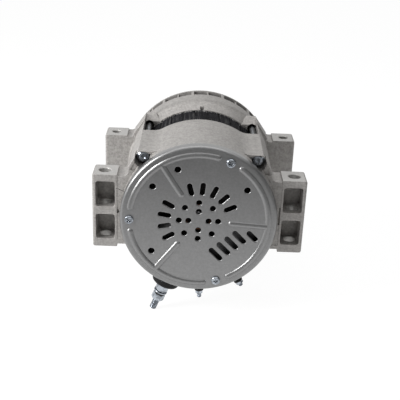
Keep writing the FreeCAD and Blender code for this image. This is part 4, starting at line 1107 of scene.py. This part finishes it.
def threaded(name, body, crest, pitch, start, end, chamfer):
    """Turned body, given as (radius, station) points up to its thread, with a cut thread to its end."""
    root = crest - pitch * 0.6
    profile = body + [(body[-1][0], start - pitch), (root, start), (root, end), (0.0, end)]
    piece = spun(name, profile, steps=48)
    # One turn of the thread's ridge, in shares of the pitch, with its foot sunk into the core
    base = root - pitch * 0.1
    ridge = chain("ridge", [(base, 0.0), (crest, pitch * 0.40), (crest, pitch * 0.54), (base, pitch * 0.94)],
                  closed=True)
    with Editing(ridge) as edit:
        edit.weld()
    modified(ridge, "SCREW", axis="Y", screw_offset=pitch, iterations=math.ceil((end - start) / pitch) + 2,
             steps=24, render_steps=24, use_merge_vertices=True, merge_threshold=WELD)
    tidied(settled(filled(ridge), placed(0.0, 0.0, 0.0, start - pitch)))
    widest, low, high = max(radius for radius, station in body) * 1.1, body[0][1] - crest, start - pitch * 0.5
    envelope = [(0.0, low), (widest, low), (widest, high), (crest, high), (crest, end - chamfer),
                (crest - chamfer, end), (0.0, end)]
    combined(piece, ridge, "UNION")
    return combined(piece, spun("envelope", envelope, steps=48), "INTERSECT")


def nut(name, flats, bore, low, high):
    """Chamfered hexagon nut with a countersunk bore."""
    piece = hexagon(flats, low, high)
    piece.name = name
    wide, over = bore * 1.12, (high - low) * 0.2
    drop = wide - bore
    profile = [(0.0, low - over), (wide, low - over), (wide, low), (bore, low + drop), (bore, high - drop),
               (wide, high), (wide, high + over), (0.0, high + over)]
    combined(piece, spun("bore", profile, steps=48), "DIFFERENCE")
    return smoothed(piece, 30.0, bpy.context.scene.alternator_fasteners.fine_edge)


def washer(name, outer, bore, low, high):
    """Flat washer with rounded edges."""
    edge = (high - low) * 0.3
    profile = [(bore, low)] + arc((outer - edge, low + edge), edge, -90.0, 0.0, 3)
    profile += arc((outer - edge, high - edge), edge, 0.0, 90.0, 3) + [(bore, high)]
    return spun(name, profile, steps=48, closed=True)


def bush(name, outer, sleeve, bore, sizes, end, rounding):
    """Insulating bush: a sleeve in the wall and a collar outside with a rounded edge."""
    inner, seat, foot = sizes.inner_face, sizes.seat, 0.0003
    profile = [(bore, inner), (sleeve, inner), (sleeve, seat), (outer - foot, seat), (outer, seat + foot)]
    profile += arc((outer - rounding, end - rounding), rounding, 0.0, 90.0, 6) + [(bore, end)]
    return smoothed(spun(name, profile, steps=72, closed=True), 35.0)


def stud_end(mount):
    """Distance from the shaft axis to the end of a stud."""
    centre = Vector(MOUNTS[mount]["pos_m"])
    centre.y = 0.0
    return centre.length + MOUNTS[mount]["dims"]["length_mm"] / 2000.0


def mounted(mount, *pieces):
    """Lays the pieces of a terminal along its stud, outwards from the shaft axis, and delivers them."""
    outwards = Vector(MOUNTS[mount]["axis"])
    turned = Vector((0.0, 1.0, 0.0)).rotation_difference(outwards).to_matrix().to_4x4()
    place = Matrix.Translation((0.0, MOUNTS[mount]["pos_m"][1], 0.0)) @ turned
    for piece, finish, node in pieces:
        delivered(settled(piece, place), finish, node)


class ALTERNATOR_OT_output_terminal(bpy.types.Operator):
    """Output stud with its insulator, nuts and washers."""

    bl_idname = "alternator.output_terminal"
    bl_label = "Output terminal"

    def execute(self, context):
        sizes, mount = context.scene.alternator_terminals, "output_terminal"
        bore, core = sizes.stud + sizes.clearance, sizes.stud_core + sizes.clearance
        jam, start, flat = sizes.jam_start, sizes.washer_start, sizes.washer_start + sizes.washer_thickness
        insulator = bush("terminal_insulator", sizes.insulator, sizes.insulator_sleeve, bore, sizes, jam,
                         sizes.insulator_round)
        jam_nut = nut("terminal_jam_nut", sizes.nut_flats, core, jam, start)
        flat_washer = smoothed(washer("terminal_flat_washer", sizes.washer, bore, start, flat))
        spring_washer = washer("terminal_spring_washer", sizes.spring_washer, bore, flat, sizes.nut_start)
        width, slant = sizes.spring_gap
        gap = prism("gap", box_outline(0.0, 0.02, -width / 2, width / 2), flat - PAST, sizes.nut_start + PAST)
        with Editing(gap) as edit:
            edit.pick("verts", lambda vertex: vertex.co.y > flat)
            bpy.ops.transform.translate(value=(0.0, 0.0, slant))
        smoothed(combined(spring_washer, gap, "DIFFERENCE"))
        outer_nut = nut("terminal_nut", sizes.nut_flats, core, sizes.nut_start, sizes.nut_end)
        inner, half = sizes.inner_face, sizes.stud_head
        stud = threaded("terminal_stud", [(0.0, inner - PAST), (sizes.stud_core, inner - PAST)], sizes.stud,
                        sizes.stud_pitch, sizes.nut_end, stud_end(mount), sizes.stud_chamfer)
        head = prism("head", [(half, -half), (half, half), (-half, half), (-half, -half)],
                     inner - sizes.stud_head_height, inner)
        smoothed(combined(stud, head, "UNION"), 35.0)
        mounted(mount, (insulator, plastic_finish, "output_insulator"),
                (jam_nut, zinc_finish, "output_jam_nut"), (flat_washer, zinc_finish, "output_washers"),
                (spring_washer, iron_finish, "output_washers"), (outer_nut, zinc_finish, "output_nut"),
                (stud, zinc_finish, "output_stud"))
        return {"FINISHED"}


class ALTERNATOR_OT_signal_terminals(bpy.types.Operator):
    """Two small studs with their bushes, washers and nuts."""

    bl_idname = "alternator.signal_terminals"
    bl_label = "Signal terminals"

    def execute(self, context):
        sizes = context.scene.alternator_terminals
        bore, core = sizes.signal_stud + sizes.clearance, sizes.signal_core + sizes.clearance
        start, flat, end = sizes.signal_washer_start, sizes.signal_nut_start, sizes.signal_nut_end
        head, edge, inner = sizes.signal_head, sizes.small_edge, sizes.inner_face
        low = inner - sizes.signal_head_height
        body = [(0.0, low), (head - edge, low), (head, low + edge), (head, inner), (sizes.signal_core, inner)]
        for side in ("centre", "right"):
            mount = f"signal_terminal_{side}"
            insulator = bush(f"signal_bush_{side}", sizes.signal_insulator, sizes.signal_sleeve, bore, sizes,
                             start, sizes.signal_round)
            flat_washer = smoothed(washer(f"signal_washer_{side}", sizes.signal_washer, bore, start, flat))
            outer_nut = nut(f"signal_nut_{side}", sizes.signal_flats, core, flat, end)
            stud = threaded(f"signal_stud_{side}", body, sizes.signal_stud, sizes.signal_pitch, end,
                            stud_end(mount), sizes.signal_chamfer)
            mounted(mount, (insulator, plastic_finish, "signal_insulators"),
                    (flat_washer, iron_finish, "signal_washers"), (outer_nut, zinc_finish, "signal_nuts"),
                    (smoothed(stud, 35.0), zinc_finish, "signal_studs"))
        return {"FINISHED"}


class ALTERNATOR_OT_shaft(bpy.types.Operator):
    """Rotor shaft with its journals, key seat, thread and centre hole."""

    bl_idname = "alternator.shaft"
    bl_label = "Shaft"

    def execute(self, context):
        sizes = context.scene.alternator_shaft
        chamfer, small, end, start = sizes.chamfer, sizes.chamfer / 2, SHAFT_END, sizes.thread_start
        slip, rear, rotor, pulley = (sizes.slip_journal, sizes.rear_journal, sizes.rotor_journal,
                                     sizes.pulley_journal)
        body = [(0.0, sizes.start), (slip - chamfer, sizes.start), (slip, sizes.start + chamfer),
                (slip, sizes.rear_start), (rear, sizes.rear_start), (rear, sizes.rotor_start),
                (rotor - small, sizes.rotor_start), (rotor, sizes.rotor_start + small), (rotor, 0.0),
                (pulley, 0.0), (pulley, start - small), (pulley - small, start), (sizes.thread, start)]
        shaft = threaded("rotor_shaft", body, sizes.thread, sizes.pitch, start + sizes.pitch * 1.5, end,
                         chamfer)
        seat = prism("key_seat", stadium(sizes.key_length, sizes.key_width), pulley - sizes.key_depth,
                     pulley * 1.2)
        upright = Matrix.Rotation(math.pi / 2, 4, "Z") @ Matrix.Rotation(math.pi / 2, 4, "X")
        settled(seat, Matrix.Translation((0.0, sizes.key_start + sizes.key_length / 2, 0.0)) @ upright)
        combined(shaft, seat, "DIFFERENCE")
        centre, pilot = sizes.centre, sizes.centre * 0.45
        drill = [(0.0, end - centre * 2.4), (pilot, end - centre * 2.1), (pilot, end - centre * 1.2),
                 (centre * 1.15, end + SUNK), (0.0, end + SUNK)]
        combined(shaft, spun("drill", drill, steps=32), "DIFFERENCE")
        delivered(smoothed(shaft, 30.0), steel_finish, "shaft", "rotor")
        return {"FINISHED"}


class ALTERNATOR_OT_inner_finishes(bpy.types.Operator):
    """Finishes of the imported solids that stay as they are."""

    bl_idname = "alternator.inner_finishes"
    bl_label = "Inner finishes"

    def execute(self, context):
        for finish, nodes in KEPT.items():
            for node in nodes.split():
                dress(frame["nodes"][node], finish)
        return {"FINISHED"}


def soft_box(name, direction, size, distance, watts):
    """Area lamp that looks at the object from a direction."""
    light = bpy.data.lights.new(name, "AREA")
    light.shape = "RECTANGLE"
    light.size, light.size_y = size
    light.energy = watts
    lamp = bpy.data.objects.new(name, light)
    bpy.context.collection.objects.link(lamp)
    away = Vector(direction).normalized()
    lamp.location = (OBJECT_LOW + OBJECT_HIGH) / 2 + away * distance
    lamp.rotation_euler = away.to_track_quat("Z", "Y").to_euler()


def studio_world(stage, white):
    """White room for the camera and gloss, darker in front and above, and a plain level of soft light."""
    world = bpy.data.worlds.new("studio")
    bpy.context.scene.world = world
    world.use_nodes = True
    recipe = Recipe(world.node_tree)
    x, y, z = recipe.axes(recipe.add("TexCoord", out="Generated"))
    camera, mirrored = recipe.rays()
    front = recipe.between(z, -0.10, 0.30) * recipe.between(0.0 - y, -0.30, 0.50)
    right = recipe.between(z, -0.10, 0.20) * recipe.between(x, 0.30, 0.80)
    shaded = recipe.maths("MAXIMUM", front, right) * (1.0 - recipe.between(z, 0.50, 0.75))
    gloss = 1.0 - (1.0 - stage.ceiling) * shaded
    rest = recipe.maths("MAXIMUM", 1.0 - camera - mirrored, 0.0)
    strength = camera + mirrored * gloss + rest * stage.surround
    background = recipe.add("Background", {}, {"Color": white, "Strength": strength})
    recipe.add("OutputWorld", {}, {"Surface": background})


def pale_floor(stage, colours):
    """White floor under the object, which keeps a faint shadow."""
    bpy.ops.object.select_all(action="DESELECT")
    bpy.ops.mesh.primitive_plane_add(size=stage.floor_size, location=(0.0, 0.0, OBJECT_LOW.z))
    floor = bpy.context.active_object
    floor.name = "floor"
    material = bpy.data.materials.new("pale_floor")
    material.use_nodes = True
    recipe = Recipe(material.node_tree)
    camera, mirrored = recipe.rays()
    x, y, z = recipe.axes(recipe.place())
    away = recipe.maths("MAXIMUM", recipe.between(0.0 - y, stage.floor_near, stage.floor_far),
                        recipe.between(x, stage.floor_near, stage.floor_far))
    matt = recipe.add("BsdfDiffuse", {}, {"Color": colours.paper})
    white = recipe.add("Emission", {}, {"Color": colours.white, "Strength": stage.floor_white})
    dim = recipe.add("Emission", {}, {"Color": colours.white, "Strength": stage.floor_dim})
    mixed = recipe.add("MixShader", {}, {0: (camera + mirrored) * stage.floor_share, 1: matt, 2: white})
    mixed = recipe.add("MixShader", {}, {0: mirrored * away, 1: mixed, 2: dim})
    recipe.add("OutputMaterial", {}, {"Surface": mixed})
    floor.data.materials.append(material)


class ALTERNATOR_OT_stage(bpy.types.Operator):
    """Camera at the photograph's angle, soft light and a pale floor."""

    bl_idname = "alternator.stage"
    bl_label = "Stage"

    def execute(self, context):
        stage, colours = context.scene.alternator_stage, context.scene.alternator_colours
        target = Vector((stage.target[0], cover_face(), stage.target[1]))
        level, side = math.cos(stage.elevation), stage.azimuth
        away = Vector((level * math.sin(side), -level * math.cos(side), math.sin(stage.elevation)))
        camera = bpy.data.objects.new("camera", bpy.data.cameras.new("camera"))
        context.collection.objects.link(camera)
        camera.data.lens = stage.lens
        turned = away.to_track_quat("Z", "Y").to_matrix().to_4x4() @ Matrix.Rotation(stage.roll, 4, "Z")
        camera.matrix_world = Matrix.Translation(target + away * stage.distance) @ turned
        context.scene.camera = camera
        soft_box("key", KEY_SIDE, KEY_SIZE, stage.lamp_distance, stage.key_power)
        soft_box("top", TOP_SIDE, TOP_SIZE, stage.lamp_distance, stage.top_power)
        studio_world(stage, colours.white)
        pale_floor(stage, colours)
        context.scene.view_settings.view_transform = "Standard"
        return {"FINISHED"}


OPERATORS = (ALTERNATOR_OT_cover, ALTERNATOR_OT_cover_screws, ALTERNATOR_OT_castings,
             ALTERNATOR_OT_through_bolts, ALTERNATOR_OT_output_terminal, ALTERNATOR_OT_signal_terminals,
             ALTERNATOR_OT_shaft, ALTERNATOR_OT_inner_finishes, ALTERNATOR_OT_stage)
SETTINGS = {"alternator_stage": StageSettings, "alternator_cover": CoverSizes,
            "alternator_fasteners": FastenerSizes, "alternator_terminals": TerminalSizes,
            "alternator_shaft": ShaftSizes, "alternator_castings": CastingSizes,
            "alternator_colours": FinishColours}


class ALTERNATOR_PT_panel(bpy.types.Panel):
    """Lists the pieces and the stage."""

    bl_idname = "ALTERNATOR_PT_panel"
    bl_label = "Alternator"
    bl_space_type = "VIEW_3D"
    bl_region_type = "UI"
    bl_category = "Alternator"

    def draw(self, context):
        for operator in OPERATORS:
            self.layout.operator(operator.bl_idname)


def register():
    for settings in SETTINGS.values():
        bpy.utils.register_class(settings)
    for name, settings in SETTINGS.items():
        setattr(bpy.types.Scene, name, PointerProperty(type=settings))
    for operator in OPERATORS:
        bpy.utils.register_class(operator)
    bpy.utils.register_class(ALTERNATOR_PT_panel)


def unregister():
    bpy.utils.unregister_class(ALTERNATOR_PT_panel)
    for operator in reversed(OPERATORS):
        bpy.utils.unregister_class(operator)
    for name, settings in SETTINGS.items():
        delattr(bpy.types.Scene, name)
        bpy.utils.unregister_class(settings)


def main():
    """Builds the object and its stage."""
    register()
    for operator in OPERATORS:
        group, name = operator.bl_idname.split(".")
        getattr(getattr(bpy.ops, group), name)()


if __name__ == "__main__":
    main()
